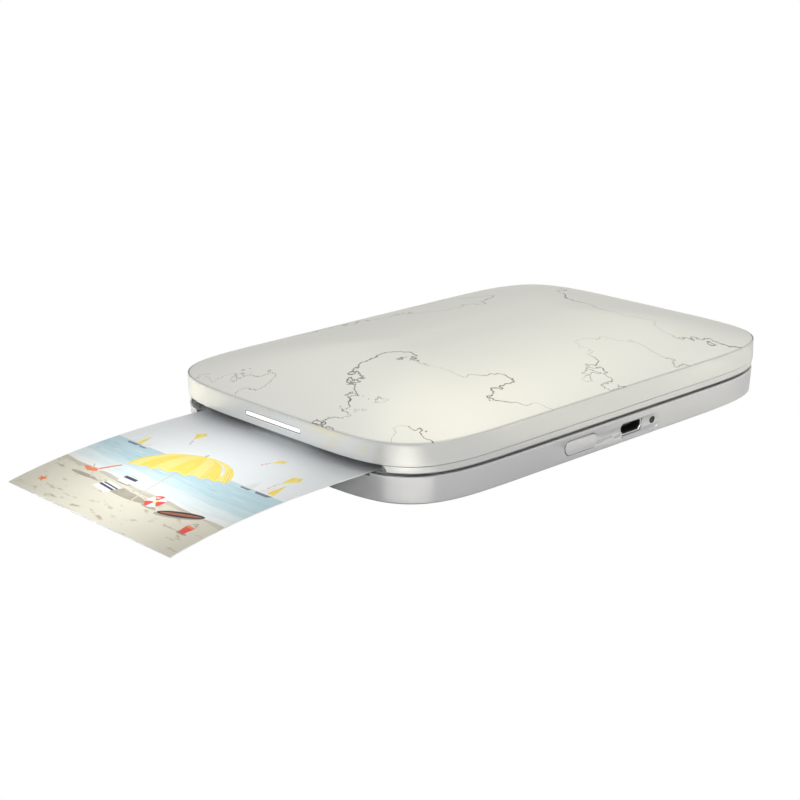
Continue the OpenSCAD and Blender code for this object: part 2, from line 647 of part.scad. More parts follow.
// first-tooth angle of a gear that meshes with a gear whose first tooth is at angle f
function meshed(f, za, zb, la) = la + 180 - 180 / zb - (f - la) * za / zb;
at_platen = [platen_y, platen_z];
at_idler = [for (y = idler_y) [y, idler_z]];
at_pick = [pick_y, platen_z];
at_motor = [motor_y, motor_z];
f_platen = 0;
f_front = meshed(f_platen, roller_teeth, idler_teeth, line_angle(at_platen, at_idler[0]));
f_mid = meshed(f_front, idler_teeth, idler_teeth, line_angle(at_idler[0], at_idler[1]));
f_rear = meshed(f_mid, idler_teeth, idler_teeth, line_angle(at_idler[1], at_idler[2]));
f_pick = meshed(f_rear, idler_teeth, roller_teeth, line_angle(at_idler[2], at_pick));
f_pinion = meshed(f_mid, drive_teeth, pinion_teeth, line_angle(at_idler[1], at_motor));
axle_bore = axle_d + 2 * run_fit;
train_x = -gear_x - gear_w;
module platen_gear() {
  color(white_nylon) gear(train_x, gear_w, platen_y, platen_z, roller_teeth, shaft_d, f_platen);
}
module pick_gear() {
  color(white_nylon) gear(train_x, gear_w, pick_y, platen_z, roller_teeth, shaft_d, f_pick);
}
module front_idler() {
  color(white_nylon) gear(train_x, gear_w, idler_y[0], idler_z, idler_teeth, axle_bore, f_front);
}
module rear_idler() {
  color(white_nylon) gear(train_x, gear_w, idler_y[2], idler_z, idler_teeth, axle_bore, f_rear);
}
module drive_gear() {
  color("#d8d4c4") {
    gear(train_x, gear_w, idler_y[1], idler_z, idler_teeth, axle_bore, f_mid);
    gear(-drive_x - drive_w, drive_w, idler_y[1], idler_z, drive_teeth, axle_bore, f_mid);
    difference() {
      rod_x(-drive_x - 0.1, train_x + 0.1, idler_y[1], idler_z, 4);
      rod_x(-far * 2, 0, idler_y[1], idler_z, axle_bore);
    }
  }
}
module motor_pinion() {
  color("#b08d57") gear(-drive_x - drive_w, drive_w, motor_y, motor_z, pinion_teeth, motor_shaft_d / 2,
    f_pinion);
  color(steel) rod_x(-drive_x - drive_w - 0.1, -plate_x + motor_l - 2.5, motor_y, motor_z, motor_shaft_d);
}

// ---- cover ----
dome_run = body_w / 2 - 0.5;
lip_inset = 0.45;
shelf_inset = 2.2;
shelf_z = crease_z - 1.13;
shelf_t = 0.6;
panel_edge = lip_inset + 0.05;
function dome_z(d) = crease_z + crown_h * (1 - pow(1 - min(d, dome_run) / dome_run, 2)) - 0.1;
dome_insets = [0, 0.8, 2, 4, 7, 11, 16, 21.5, 28, dome_run - 4];
post_d = 4;
pin_d = 2;
pin_span = 30;           // distance between the two guide pins
plate_w = tray_w - 18.6;
plate_l = 56;
plate_mid_y = tray_y + 11 + plate_l / 2;
plate_hole_w = 6;
plate_hole_l = 36;
press_t = 0.8;
press_z = tray_top + 0.2;
press_drop = 4.2;
pin_y = [plate_mid_y - pin_span / 2, plate_mid_y + pin_span / 2];
plate_wire = 0.4;
plate_spring_r = post_d / 2 + 0.5;
facet_play = 0.1;        // the dome's facets lie this far under the true curve at most
// seat of the plate springs, just under the cover at the far side of the rear spring
roof_z = dome_z(body_l / 2 - pin_y[1] - plate_spring_r - plate_wire) - cover_wall - facet_play;
seat_d = 2 * plate_spring_r + 1;
post_low = press_z + press_t + 0.8;

module at_pins() {
  for (y = pin_y) translate([0, y, 0]) children();
}
module cover_rim() {
  inner_inset = cover_wall + 0.1;
  color(pearl) difference() {
    union() {
      difference() {
        loft([[0.3, seam_z], [0.04, seam_z + 0.3], [0, seam_z + 1.2], [0, crease_z - 0.7],
          [0.1, crease_z - 0.25], [0.34, crease_z - 0.06], [lip_inset, crease_z - 0.06],
          [lip_inset, shelf_z], [shelf_inset, shelf_z], [shelf_inset, shelf_z - shelf_t],
          [inner_inset, shelf_z - shelf_t - 0.2], [inner_inset, seam_z]], ring = true);
        // window for the status light
        for (s = [-1, 1]) translate([s * (bar_l - bar_h) / 2, 0, bar_z]) rotate([90, 0, 0])
          cylinder(h = far * 4, d = bar_h + 0.06, $fn = 32);
        block([-(bar_l - bar_h) / 2, -far * 4, bar_z - bar_h / 2 - 0.03],
          [(bar_l - bar_h) / 2, 0, bar_z + bar_h / 2 + 0.03]);
      }
      intersection() {
        slab(0.6, seam_z, 3);
        at_magnets() translate([0, 0, seam_z]) cylinder(h = 2.6, d = magnet_d + 1.4, $fn = 32);
      }
      // locating lips that drop inside the neck
      for (s = [-1, 1]) {
        block([s > 0 ? body_w / 2 - 4.3 : -body_w / 2 + 0.8, 0, seam_z + 0.04],
          [s > 0 ? body_w / 2 - 0.8 : -body_w / 2 + 4.3, 24, seam_z + 1]);
        block([s > 0 ? body_w / 2 - 4.3 : -body_w / 2 + 3.55, 0, seam_z - 0.9],
          [s > 0 ? body_w / 2 - 3.55 : -body_w / 2 + 4.3, 24, seam_z + 0.5]);
      }
    }
    at_magnets() translate([0, 0, seam_z - 1]) cylinder(h = magnet_h + 1, d = magnet_d, $fn = 32);
  }
}
module cover_panel() {
  top = [for (d = dome_insets) [panel_edge + d, dome_z(panel_edge + d)]];
  under = [for (i = [len(dome_insets) - 1:-1:3])
    [panel_edge + dome_insets[i], dome_z(panel_edge + dome_insets[i]) - cover_wall]];
  n = len(under);
  color(pearl) difference() {
    loft(concat([[panel_edge, shelf_z + touch]], top));
    difference() {
      loft(concat([[shelf_inset, shelf_z - 1], [shelf_inset, shelf_z + 0.3]],
        [for (i = [n - 1:-1:0]) under[i]]));
      at_pins() difference() {
        union() {
          translate([0, 0, post_low]) cylinder(h = far, d = post_d, $fn = 32);
          translate([0, 0, roof_z]) cylinder(h = far, d = seat_d, $fn = 32);
        }
        translate([0, 0, post_low - 1]) cylinder(h = roof_z - post_low + 0.9, d = pin_d + 0.1, $fn = 32);
      }
    }
  }
}
module light_bar() {
  color("white") {
    for (s = [-1, 1]) translate([s * (bar_l - bar_h) / 2, -body_l / 2 + 2.6, bar_z]) rotate([90, 0, 0])
      cylinder(h = 2.5, d = bar_h, $fn = 32);
    block([-(bar_l - bar_h) / 2, -body_l / 2 + 0.1, bar_z - bar_h / 2],
      [(bar_l - bar_h) / 2, -body_l / 2 + 2.6, bar_z + bar_h / 2]);
    block([-(bar_l - bar_h) / 2, -body_l / 2 + cover_wall + 0.12, bar_z - bar_h / 2 - 0.6],
      [(bar_l - bar_h) / 2, -body_l / 2 + 2.6, bar_z + bar_h / 2]);
  }
}
module cover_magnets() {
  color(steel) at_magnets() translate([0, 0, seam_z + 0.05])
    cylinder(h = magnet_h - 0.05, d = magnet_d, $fn = 32);
}
module plate_springs() {
  color(steel) at_pins() coil(plate_spring_r, press_z + press_t + touch, roof_z - touch, 5, plate_wire);
}
module pressure_plate() {
  color("#c9ccd0") {
    difference() {
      translate([-plate_w / 2, plate_mid_y - plate_l / 2, press_z]) cube([plate_w, plate_l, press_t]);
      for (s = [-1, 1]) translate([s * plate_w * 0.3 - plate_hole_w / 2, plate_mid_y - plate_hole_l / 2,
        press_z - 1]) cube([plate_hole_w, plate_hole_l, 3]);
    }
    at_pins() translate([0, 0, press_z]) cylinder(h = roof_z - 0.5 - press_z, d = pin_d, $fn = 32);
  }
}

// ---- photo ----
module photo_sheet() {
  tip_y = -body_l / 2 - sheet_out;
  flat_y = -body_l / 2 + 3.75;
  run = flat_y - tip_y;
  steps = 14;
  droop_power = 2.85;
  bend_extra = pow(sheet_droop * droop_power / run, 2) * run / (2 * (2 * droop_power - 1));
  tail_y = tip_y + sheet_l - bend_extra;
  function drop(i) = sheet_droop * pow(i / steps, droop_power);
  under = [for (i = [steps:-1:0]) [flat_y - run * i / steps, sheet_z - drop(i)]];
  over = [for (i = [0:steps]) [flat_y - run * i / steps, sheet_z + sheet_t - drop(i)]];
  color("#dfe6ea") translate([-sheet_w / 2, 0, 0]) rotate([90, 0, 90]) linear_extrude(sheet_w)
    polygon(concat(under, [[tail_y, sheet_z], [tail_y, sheet_z + sheet_t]], over));
}

lower_housing();
base_pad();
middle_frame();
housing_screws();
battery();
main_board();
usb_socket();
power_switch();
charge_light();
frame_magnets();
print_chassis();
chassis_screws();
shaft_bushes();
idler_axles();
feed_motor();
led_board();
head_springs();
paper_sensor();
cover_rim();
cover_panel();
light_bar();
cover_magnets();
plate_springs();
pressure_plate();
print_head();
heat_sink();
platen_shaft();
platen_rubber();
platen_gear();
front_idler();
drive_gear();
rear_idler();
pick_shaft();
pick_tyres();
pick_gear();
motor_pinion();
power_button();
photo_sheet();
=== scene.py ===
"""Looks of a pocket photo printer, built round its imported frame.

Metres, Z up. The printer stands on z = 0 with its paper exit towards -Y
and its button and charging socket towards +X.
"""
import math

import bmesh
import bpy
from mathutils import Matrix, Vector
from mathutils.geometry import delaunay_2d_cdt


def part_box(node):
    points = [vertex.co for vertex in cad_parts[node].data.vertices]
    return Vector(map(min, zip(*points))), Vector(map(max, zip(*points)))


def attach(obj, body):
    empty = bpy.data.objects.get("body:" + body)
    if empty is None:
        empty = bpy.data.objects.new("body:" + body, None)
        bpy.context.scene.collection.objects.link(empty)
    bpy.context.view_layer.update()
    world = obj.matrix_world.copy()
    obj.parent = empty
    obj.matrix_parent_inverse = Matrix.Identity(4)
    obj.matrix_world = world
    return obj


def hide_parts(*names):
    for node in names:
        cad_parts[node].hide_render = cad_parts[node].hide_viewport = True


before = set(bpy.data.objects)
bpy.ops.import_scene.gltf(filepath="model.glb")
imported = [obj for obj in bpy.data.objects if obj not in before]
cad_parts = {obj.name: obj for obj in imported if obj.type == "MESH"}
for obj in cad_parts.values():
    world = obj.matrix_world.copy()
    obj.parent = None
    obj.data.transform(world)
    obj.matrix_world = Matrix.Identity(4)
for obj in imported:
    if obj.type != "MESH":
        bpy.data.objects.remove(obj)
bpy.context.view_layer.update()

# ---- Camera ----
# The photograph is taken from the front right corner, a hand's height above the table,
# with a long lens, and the printer sits right of the middle of the frame.
MM = 0.001
VIEW_AZIMUTH = math.radians(44.91)
VIEW_HEIGHT = math.radians(16.09)
VIEW_DISTANCE = 386.9 * MM
AIM = Vector((0, 0, 18.2 * MM))
PHOTO_PX = 800
FOCAL_PX = 1740.4
OFF_CENTRE_PX = (80.1, -47.25)
SENSOR_MM = 36.0

back = Vector((math.sin(VIEW_AZIMUTH) * math.cos(VIEW_HEIGHT),
               -math.cos(VIEW_AZIMUTH) * math.cos(VIEW_HEIGHT), math.sin(VIEW_HEIGHT)))
camera = bpy.data.objects.new("photo_camera", bpy.data.cameras.new("photo_camera"))
bpy.context.scene.collection.objects.link(camera)
camera.location = AIM + back * VIEW_DISTANCE
camera.rotation_euler = back.to_track_quat("Z", "Y").to_euler()
camera.data.sensor_width = SENSOR_MM
camera.data.lens = FOCAL_PX * SENSOR_MM / PHOTO_PX
camera.data.shift_x = -OFF_CENTRE_PX[0] / PHOTO_PX
camera.data.shift_y = OFF_CENTRE_PX[1] / PHOTO_PX
camera.data.clip_start = 0.01
bpy.context.scene.camera = camera
bpy.context.scene.view_settings.view_transform = "Standard"


# ---- Table and studio light ----
# A matt white sweep that fills the background, a soft grey room, soft panels beside and behind
# the printer, and narrow lamps that lay pools of light on the table. The lacquer mirrors all of
# these, while the camera sees plain white behind the printer.
def wire(tree, kind, settings=None, **sockets):
    """Adds a shader node, sets its options and fills or links its inputs, named or as i0, i1, ..."""
    node = tree.nodes.new(kind)
    for name, value in (settings or {}).items():
        setattr(node, name, value)
    for name, value in sockets.items():
        numbered = name[0] == "i" and name[1:].isdigit()
        socket = node.inputs[int(name[1:])] if numbered else node.inputs[name.replace("_", " ")]
        if isinstance(value, bpy.types.NodeSocket):
            tree.links.new(value, socket)
        else:
            socket.default_value = value
    return node


def blank_material(name):
    """A new material with an empty node tree, and that tree."""
    material = bpy.data.materials.new(name)
    material.use_nodes = True
    material.node_tree.nodes.clear()
    return material, material.node_tree


def sweep_material():
    """Matt pale board that the camera sees as plain white."""
    material, tree = blank_material("white_sweep")
    path = wire(tree, "ShaderNodeLightPath")
    matt = wire(tree, "ShaderNodeBsdfDiffuse", Color=(0.85, 0.85, 0.85, 1))
    glow = wire(tree, "ShaderNodeEmission", Color=(1, 1, 1, 1), Strength=1.0)
    mix = wire(tree, "ShaderNodeMixShader", i0=path.outputs["Is Camera Ray"], i1=matt.outputs[0],
               i2=glow.outputs[0])
    wire(tree, "ShaderNodeOutputMaterial", Surface=mix.outputs[0])
    return material


SWEEP_SIZE = 6.0
bpy.ops.mesh.primitive_plane_add(size=SWEEP_SIZE, location=(0, 0, 0))
table = bpy.context.object
table.name = "table"
table.data.materials.append(sweep_material())


PANEL_AWAY = 0.8
PANEL = (0.3, 0.3)
WIDE_PANEL = (0.42, 0.34)
SMALL_PANEL = (0.2, 0.2)
WARM = (1.0, 0.99, 0.86)
CREAM = (1.0, 0.975, 0.74)


def soft_light(name, azimuth, height, size, power, colour=(1, 1, 1)):
    """A panel on a sphere round the printer, aimed at its middle, with its angles in degrees."""
    data = bpy.data.lights.new(name, "AREA")
    data.shape = "RECTANGLE"
    data.size, data.size_y = size
    data.energy = power
    data.color = colour
    light = bpy.data.objects.new(name, data)
    bpy.context.scene.collection.objects.link(light)
    a, h = math.radians(azimuth), math.radians(height)
    away = Vector((math.sin(a) * math.cos(h), -math.cos(a) * math.cos(h), math.sin(h)))
    light.location = away * PANEL_AWAY
    light.rotation_euler = away.to_track_quat("Z", "Y").to_euler()


soft_light("side_panel", 90, 30, PANEL, 0.74, WARM)
soft_light("back_panel", -138, 48, WIDE_PANEL, 0.38, CREAM)
soft_light("rear_panel", -160, 48, PANEL, 0.13, WARM)
soft_light("left_panel", -110, 48, PANEL, 0.10)
soft_light("front_panel", -25, 8, PANEL, 0.08)
soft_light("slot_panel", 28, 14, SMALL_PANEL, 0.05)
soft_light("bevel_panel", 146, 35, SMALL_PANEL, 0.09, CREAM)

POOL_LAMP_H = 0.3
POOL_LAMP_D = 0.008
IVORY = (1.0, 0.98, 0.87)
COOL = (0.96, 0.98, 1.0)


def floor_pool(name, x, y, power, spread, colour, lean=0):
    """A narrow lamp that lights the table round (x, y) millimetres, hung forward by lean degrees."""
    data = bpy.data.lights.new(name, "AREA")
    data.shape = "DISK"
    data.size = POOL_LAMP_D
    data.energy = power
    data.color = colour
    data.spread = math.radians(spread)
    lamp = bpy.data.objects.new(name, data)
    bpy.context.scene.collection.objects.link(lamp)
    away = Vector((0, -math.sin(math.radians(lean)), math.cos(math.radians(lean)))) * POOL_LAMP_H
    lamp.location = Vector((x * MM, y * MM, 0)) + away
    lamp.rotation_euler = away.to_track_quat("Z", "Y").to_euler()


floor_pool("corner_pool", 58.5, -94, 0.2500, 11, IVORY)
floor_pool("foot_pool", 53, -76, 0.1100, 8.5, IVORY)
floor_pool("left_pool", -84, -70, 0.0075, 20, CREAM)
floor_pool("rear_pool", 71, 104, 0.0400, 15, CREAM)
floor_pool("sheet_pool", 0, -80, 0.0026, 11, COOL, 45)
floor_pool("right_pool", 80, 40, 0.0040, 20, CREAM)

HORIZON_LEVEL = 0.46
ROOM_LEVEL = 0.64
world = bpy.data.worlds.new("room")
bpy.context.scene.world = world
world.use_nodes = True
room = world.node_tree
room.nodes.clear()
room_path = wire(room, "ShaderNodeLightPath")
room_seen = wire(room, "ShaderNodeMath", {"operation": "MAXIMUM"},
                 i0=room_path.outputs["Is Camera Ray"], i1=room_path.outputs["Is Transmission Ray"])
room_place = wire(room, "ShaderNodeTexCoord")
room_up = wire(room, "ShaderNodeSeparateXYZ", Vector=room_place.outputs["Generated"])
room_sky = wire(room, "ShaderNodeMapRange", {"interpolation_type": "SMOOTHSTEP"},
                Value=room_up.outputs["Z"], From_Max=0.4, To_Min=HORIZON_LEVEL, To_Max=ROOM_LEVEL)
room_level = wire(room, "ShaderNodeMix", i0=room_seen.outputs[0], i2=room_sky.outputs[0], i3=1.0)
room_light = wire(room, "ShaderNodeBackground", Color=(1, 1, 1, 1), Strength=room_level.outputs[0])
wire(room, "ShaderNodeOutputWorld", Surface=room_light.outputs[0])


# ---- Lower housing ----
# Injection-moulded tray with a curved belly, painted in satin silver lacquer. The button hole,
# the scooped socket recess and the dip where the photo comes out are moulded in its wall.
BODY_W = 80.0
BODY_L = 117.5
CORNER_R = 37.4
CORNER_POWER = 4.8
CORNER_STEPS = 36


def outline(inset):
    """The casing seen from above, in millimetres, drawn in by inset on every side."""
    # the tiny shares of sx and sy keep the end points of each quarter on its own side
    r = CORNER_R - inset
    points = []
    for quarter, (sx, sy) in enumerate(((1, 1), (-1, 1), (-1, -1), (1, -1))):
        for step in range(CORNER_STEPS + 1):
            a = math.pi / 2 * (quarter + step / CORNER_STEPS)
            x = math.copysign(abs(math.cos(a)) ** (2 / CORNER_POWER), math.cos(a) + 1e-12 * sx) * r
            y = math.copysign(abs(math.sin(a)) ** (2 / CORNER_POWER), math.sin(a) + 1e-12 * sy) * r
            points.append((x + sx * (BODY_W / 2 - CORNER_R), y + sy * (BODY_L / 2 - CORNER_R)))
    return points


def new_object(name, mesh):
    """Puts a mesh in the scene as a piece."""
    piece = bpy.data.objects.new(name, mesh)
    bpy.context.scene.collection.objects.link(piece)
    return piece


def skin(name, loops, ring=False):
    """A closed skin through loops of points in millimetres, capped, or bent round into a ring."""
    mesh = bpy.data.meshes.new(name)
    build = bmesh.new()
    rows = [[build.verts.new((x * MM, y * MM, z * MM)) for x, y, z in loop] for loop in loops]
    pairs = list(zip(rows, rows[1:])) + ([(rows[-1], rows[0])] if ring else [])
    for low, high in pairs:
        for j in range(len(low)):
            k = (j + 1) % len(low)
            build.faces.new((low[j], low[k], high[k], high[j]))
    if not ring:
        build.faces.new(list(reversed(rows[0])))
        build.faces.new(rows[-1])
    bmesh.ops.recalc_face_normals(build, faces=build.faces)
    build.to_mesh(mesh)
    build.free()
    return new_object(name, mesh)


def loft(name, levels, ring=False):
    """A skin through the casing's outline at each (inset, height)."""
    return skin(name, [[(x, y, z) for x, y in outline(inset)] for inset, z in levels], ring)


def bake(piece):
    """Makes the piece's modifiers part of its mesh."""
    bpy.context.view_layer.update()
    done = bpy.data.meshes.new_from_object(piece.evaluated_get(bpy.context.evaluated_depsgraph_get()))
    piece.modifiers.clear()
    piece.data = done


def carve(piece, *tools, operation="DIFFERENCE"):
    """Cuts the tools out of the piece, or joins them to it, and deletes them."""
    for tool in tools:
        cut = piece.modifiers.new("cut", "BOOLEAN")
        cut.operation = operation
        cut.solver = "EXACT"
        cut.object = tool
        bake(piece)
        bpy.data.objects.remove(tool)


def smooth(piece, angle=32):
    """Shades the piece smooth, apart from edges sharper than angle degrees."""
    piece.data.shade_smooth()
    piece.data.set_sharp_from_angle(angle=math.radians(angle))
    return piece


def finish_piece(piece, material, body, slot, *nodes):
    """Paints the piece, puts it on its body and lets it stand for its CAD nodes."""
    piece.data.materials.clear()
    piece.data.materials.append(material)
    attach(piece, body)
    if nodes:
        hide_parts(*nodes)


ROUND_STEPS = 20


def stadium(length, height):
    """Points of a slot with round ends, as (y, z) about its middle."""
    r = height / 2
    points = []
    for side in (1, -1):
        for step in range(ROUND_STEPS + 1):
            a = math.radians(-90 + 180 * step / ROUND_STEPS)
            points.append((side * ((length / 2 - r) + r * math.cos(a)), side * r * math.sin(a)))
    return points


def side_loft(name, y, z, sections):
    """A solid across the right-hand wall through slots of (x, length, height)."""
    return skin(name, [[(x, y + py, z + pz) for py, pz in stadium(length, height)]
                       for x, length, height in sections])


def box_tool(name, low, high):
    """A box between two corners in millimetres, to cut or join with."""
    mesh = bpy.data.meshes.new(name)
    build = bmesh.new()
    bmesh.ops.create_cube(build, size=1)
    for vert in build.verts:
        vert.co = Vector([(low[i] + (vert.co[i] + 0.5) * (high[i] - low[i])) * MM for i in range(3)])
    build.to_mesh(mesh)
    build.free()
    return new_object(name, mesh)


BELLY_H = 5.7
BELLY_RUN = 26.0
BELLY_POWER = 1.6
BELLY_WALL = 1.2
BELLY_INSETS = [0.9, 1.6, 2.6, 4, 5.6, 7.5, 9.6, 12, 14.6, 17.5, 20.5, 23.5, 25.9]
EDGE_Z = 6.2
EDGE_INSET = 0.45
EDGE_ROUND = 0.35
EDGE_DROP = 0.08
RIM_Z = 11.76
RIM_INSET = 0.15
SIDE_WALL = 1.4
LEDGE_Z = 10.4


def belly_z(inset):
    """Height of the belly's skin, inset millimetres in from the wall."""
    return EDGE_Z - BELLY_H * (1 - (1 - min(inset, BELLY_RUN) / BELLY_RUN) ** BELLY_POWER)


belly = [(inset + EDGE_INSET, belly_z(inset + EDGE_INSET)) for inset in reversed(BELLY_INSETS)]
edge_round = [(EDGE_INSET + EDGE_ROUND * (1 - math.sin(a)),
               EDGE_Z - EDGE_DROP + EDGE_ROUND * (1 - math.cos(a)))
              for a in [math.radians(step) for step in (12, 30, 50, 70, 90)]]
rim_round = [(RIM_INSET + 0.02, RIM_Z - 0.35), (RIM_INSET, RIM_Z - 0.22), (RIM_INSET + 0.03, RIM_Z - 0.1),
             (RIM_INSET + 0.12, RIM_Z - 0.02), (RIM_INSET + 0.25, RIM_Z), (RIM_INSET + 0.42, RIM_Z - 0.04)]
ledge = [(0.75, RIM_Z - 0.18), (1.3, RIM_Z - 0.4), (2.1, RIM_Z - 0.5), (2.25, RIM_Z - 0.6), (2.25, LEDGE_Z)]
cavity = [(SIDE_WALL + RIM_INSET, LEDGE_Z), (SIDE_WALL + EDGE_INSET, EDGE_Z + 0.9)]
cavity += [(inset + EDGE_INSET, belly_z(inset + EDGE_INSET) + BELLY_WALL) for inset in BELLY_INSETS[2:]]
housing = loft("lower_housing_shell", belly + edge_round + rim_round + ledge + cavity)

# what is cut in it: the dip under the sheet, the pad's seat, and the places of button and socket
LIP_W = 55.0
LIP_Z = 11.1
LIP_REACH = 4
PAD_SEAT_W = 24.0
PAD_SEAT_L = 60.0
PAD_SEAT_Z = 0.8
WALL_X = BODY_W / 2 - RIM_INSET
CUT_X = 36
BUTTON_Y = -10.4
BUTTON_Z = 8.9
BUTTON_L = 9.8
BUTTON_H = 3.0
BUTTON_GAP = 0.1
# the shallow dish round the button: how far outward of the wall, and how much larger than the key
BUTTON_DISH = [(-0.3, 0.2), (-0.26, 0.4), (0, 1.2), (0.4, 2.6)]
PORT_Y = 5.75
PORT_Z = 8.75
PORT_W = 6.3
PORT_H = 2.1
SHELL_ROOM = 0.38
SCOOP_DEEP = 0.8
# the groove from button to scoop, its flared ends and the scoop: middle y and z, length, height, depth
HOLLOWS = {
    "channel": (-2.2, 8.75, 10.4, 1.9, 0.5),
    "button_flare": (-4.9, 8.8, 4.6, 2.9, 0.42),
    "scoop_flare": (0.9, 8.65, 4.6, 3.0, 0.5),
    "scoop": (7.9, 8.45, 13.6, 4.2, SCOOP_DEEP),
}
SLOPE_Y = 0.75
SLOPE_Z = 0.85
CORNER_CUT = 0.25
LIGHT_Y = 12.7
LIGHT_HOLE = (1.61, 1.6)
DISH_STEPS = 12


def socket_outline(grow):
    """The socket's mouth as (y, z), with cut-off upper corners and sloped lower ones."""
    w, h = PORT_W / 2 + grow, PORT_H / 2 + grow
    right = [(w - SLOPE_Y, -h), (w, -h + SLOPE_Z), (w, h - CORNER_CUT), (w - CORNER_CUT, h)]
    return right + [(-y, z) for y, z in reversed(right)]


def dished(x, length, height, depth):
    """Levels of a hollow as deep as depth in its middle line, running out flat at its rim."""
    levels = []
    for step in range(DISH_STEPS + 1):
        share = 1 - (step / DISH_STEPS) ** 2
        levels.append((x - depth * share, length - height * (1 - step / DISH_STEPS),
                       max(0.05, height * step / DISH_STEPS)))
    slope = 2 * depth / (height / 2)
    return levels + [(x + 0.4, length + 0.8 / slope, height + 0.8 / slope)]


def over_wall(name, y, z, shape, levels):
    """A solid across the right-hand wall through shape(grow) at each (grow, x)."""
    return skin(name, [[(x, y + py, z + pz) for py, pz in shape(grow)] for grow, x in levels])


button_hole = (BUTTON_L + 2 * BUTTON_GAP, BUTTON_H + 2 * BUTTON_GAP)
carve(housing,
      box_tool("exit_dip", (-LIP_W / 2, -BODY_L, LIP_Z), (LIP_W / 2, -BODY_L / 2 + LIP_REACH, RIM_Z + 1)),
      box_tool("pad_seat", (-PAD_SEAT_W / 2, -PAD_SEAT_L / 2, -1),
               (PAD_SEAT_W / 2, PAD_SEAT_L / 2, PAD_SEAT_Z)),
      side_loft("button_hole", BUTTON_Y, BUTTON_Z, [(CUT_X, *button_hole), (WALL_X + 1, *button_hole)]),
      side_loft("button_dish", BUTTON_Y, BUTTON_Z, [(WALL_X + outward, BUTTON_L + grow, BUTTON_H + grow)
                                                    for outward, grow in BUTTON_DISH]),
      *[side_loft(name, y, z, dished(WALL_X, length, height, depth))
        for name, (y, z, length, height, depth) in HOLLOWS.items()],
      over_wall("socket_hole", PORT_Y, PORT_Z, socket_outline, [(SHELL_ROOM, CUT_X), (SHELL_ROOM, WALL_X)]),
      side_loft("light_hole", LIGHT_Y, PORT_Z, [(CUT_X, *LIGHT_HOLE), (WALL_X, *LIGHT_HOLE)]))
smooth(housing)


def group(name, inputs, outputs):
    """An empty shader node group with named sockets; returns it with its input and output nodes."""
    tree = bpy.data.node_groups.new(name, "ShaderNodeTree")
    for label, kind, value in inputs:
        socket = tree.interface.new_socket(name=label, in_out="INPUT", socket_type=kind)
        socket.default_value = value
    for label, kind in outputs:
        tree.interface.new_socket(name=label, in_out="OUTPUT", socket_type=kind)
    return tree, tree.nodes.new("NodeGroupInput"), tree.nodes.new("NodeGroupOutput")


def maths(tree, operation, *values):
    """The result of a Math node on the values, which are numbers or sockets."""
    return wire(tree, "ShaderNodeMath", {"operation": operation},
                **{f"i{i}": value for i, value in enumerate(values)}).outputs[0]


def lacquer_group():
    """Metal flake under lacquer: slow clouding, fine flake and a faint orange peel."""
    tree, given, made = group("flake_lacquer", [
        ("Paint", "NodeSocketColor", (0.7, 0.7, 0.7, 1)), ("Flake", "NodeSocketFloat", 0.05),
        ("Cloud", "NodeSocketFloat", 0.02), ("Roughness", "NodeSocketFloat", 0.35)],
        [("Color", "NodeSocketColor"), ("Roughness", "NodeSocketFloat"), ("Height", "NodeSocketFloat")])
    place = wire(tree, "ShaderNodeTexCoord")
    flake = wire(tree, "ShaderNodeTexVoronoi", Vector=place.outputs["Object"], Scale=7000.0)
    cloud = wire(tree, "ShaderNodeTexNoise", Vector=place.outputs["Object"], Scale=28.0, Detail=3.0)
    peel = wire(tree, "ShaderNodeTexNoise", Vector=place.outputs["Object"], Scale=900.0, Detail=2.0)
    spark = wire(tree, "ShaderNodeSeparateColor", Color=flake.outputs["Color"])
    spark_level = maths(tree, "SUBTRACT", spark.outputs[0], 0.5)
    cloud_level = maths(tree, "SUBTRACT", cloud.outputs[0], 0.5)
    spark_part = maths(tree, "MULTIPLY", spark_level, given.outputs["Flake"])
    cloud_part = maths(tree, "MULTIPLY", cloud_level, given.outputs["Cloud"])
    level = maths(tree, "ADD", maths(tree, "ADD", spark_part, cloud_part), 1.0)
    colour = wire(tree, "ShaderNodeVectorMath", {"operation": "SCALE"}, i0=given.outputs["Paint"],
                  Scale=level)
    rough = maths(tree, "MULTIPLY_ADD", spark_level, 0.02, given.outputs["Roughness"])
    tree.links.new(colour.outputs[0], made.inputs["Color"])
    tree.links.new(rough, made.inputs["Roughness"])
    tree.links.new(peel.outputs[0], made.inputs["Height"])
    return tree


LACQUER = lacquer_group()
FLAKE = 0.02
CLOUD = 0.012
PEEL_MM = 0.0008


def lacquered(name, paint, metallic, roughness):
    """A satin lacquer with metal flake in it."""
    material, tree = blank_material(name)
    look = wire(tree, "ShaderNodeGroup", {"node_tree": LACQUER}, Paint=(*paint, 1), Flake=FLAKE,
                Cloud=CLOUD, Roughness=roughness)
    bump = wire(tree, "ShaderNodeBump", Strength=0.15, Distance=PEEL_MM * MM, Height=look.outputs["Height"])
    shader = wire(tree, "ShaderNodeBsdfPrincipled", Base_Color=look.outputs["Color"], Metallic=metallic,
                  Roughness=look.outputs["Roughness"], Normal=bump.outputs[0])
    wire(tree, "ShaderNodeOutputMaterial", Surface=shader.outputs[0])
    return material


silver = lacquered("silver_lacquer", (0.765, 0.765, 0.79), 0.95, 0.23)
finish_piece(housing, silver, "root", "base_silver", "lower_housing")

# ---- Power button ----
# A separate moulded key in the same silver lacquer, held behind the wall by its skirt,
# with a thin dark gap all round it.
SKIRT_X = 37.25
SKIRT_T = 0.8
SKIRT_L = BUTTON_L + 1.4
KEY_FACE_X = WALL_X - 0.12
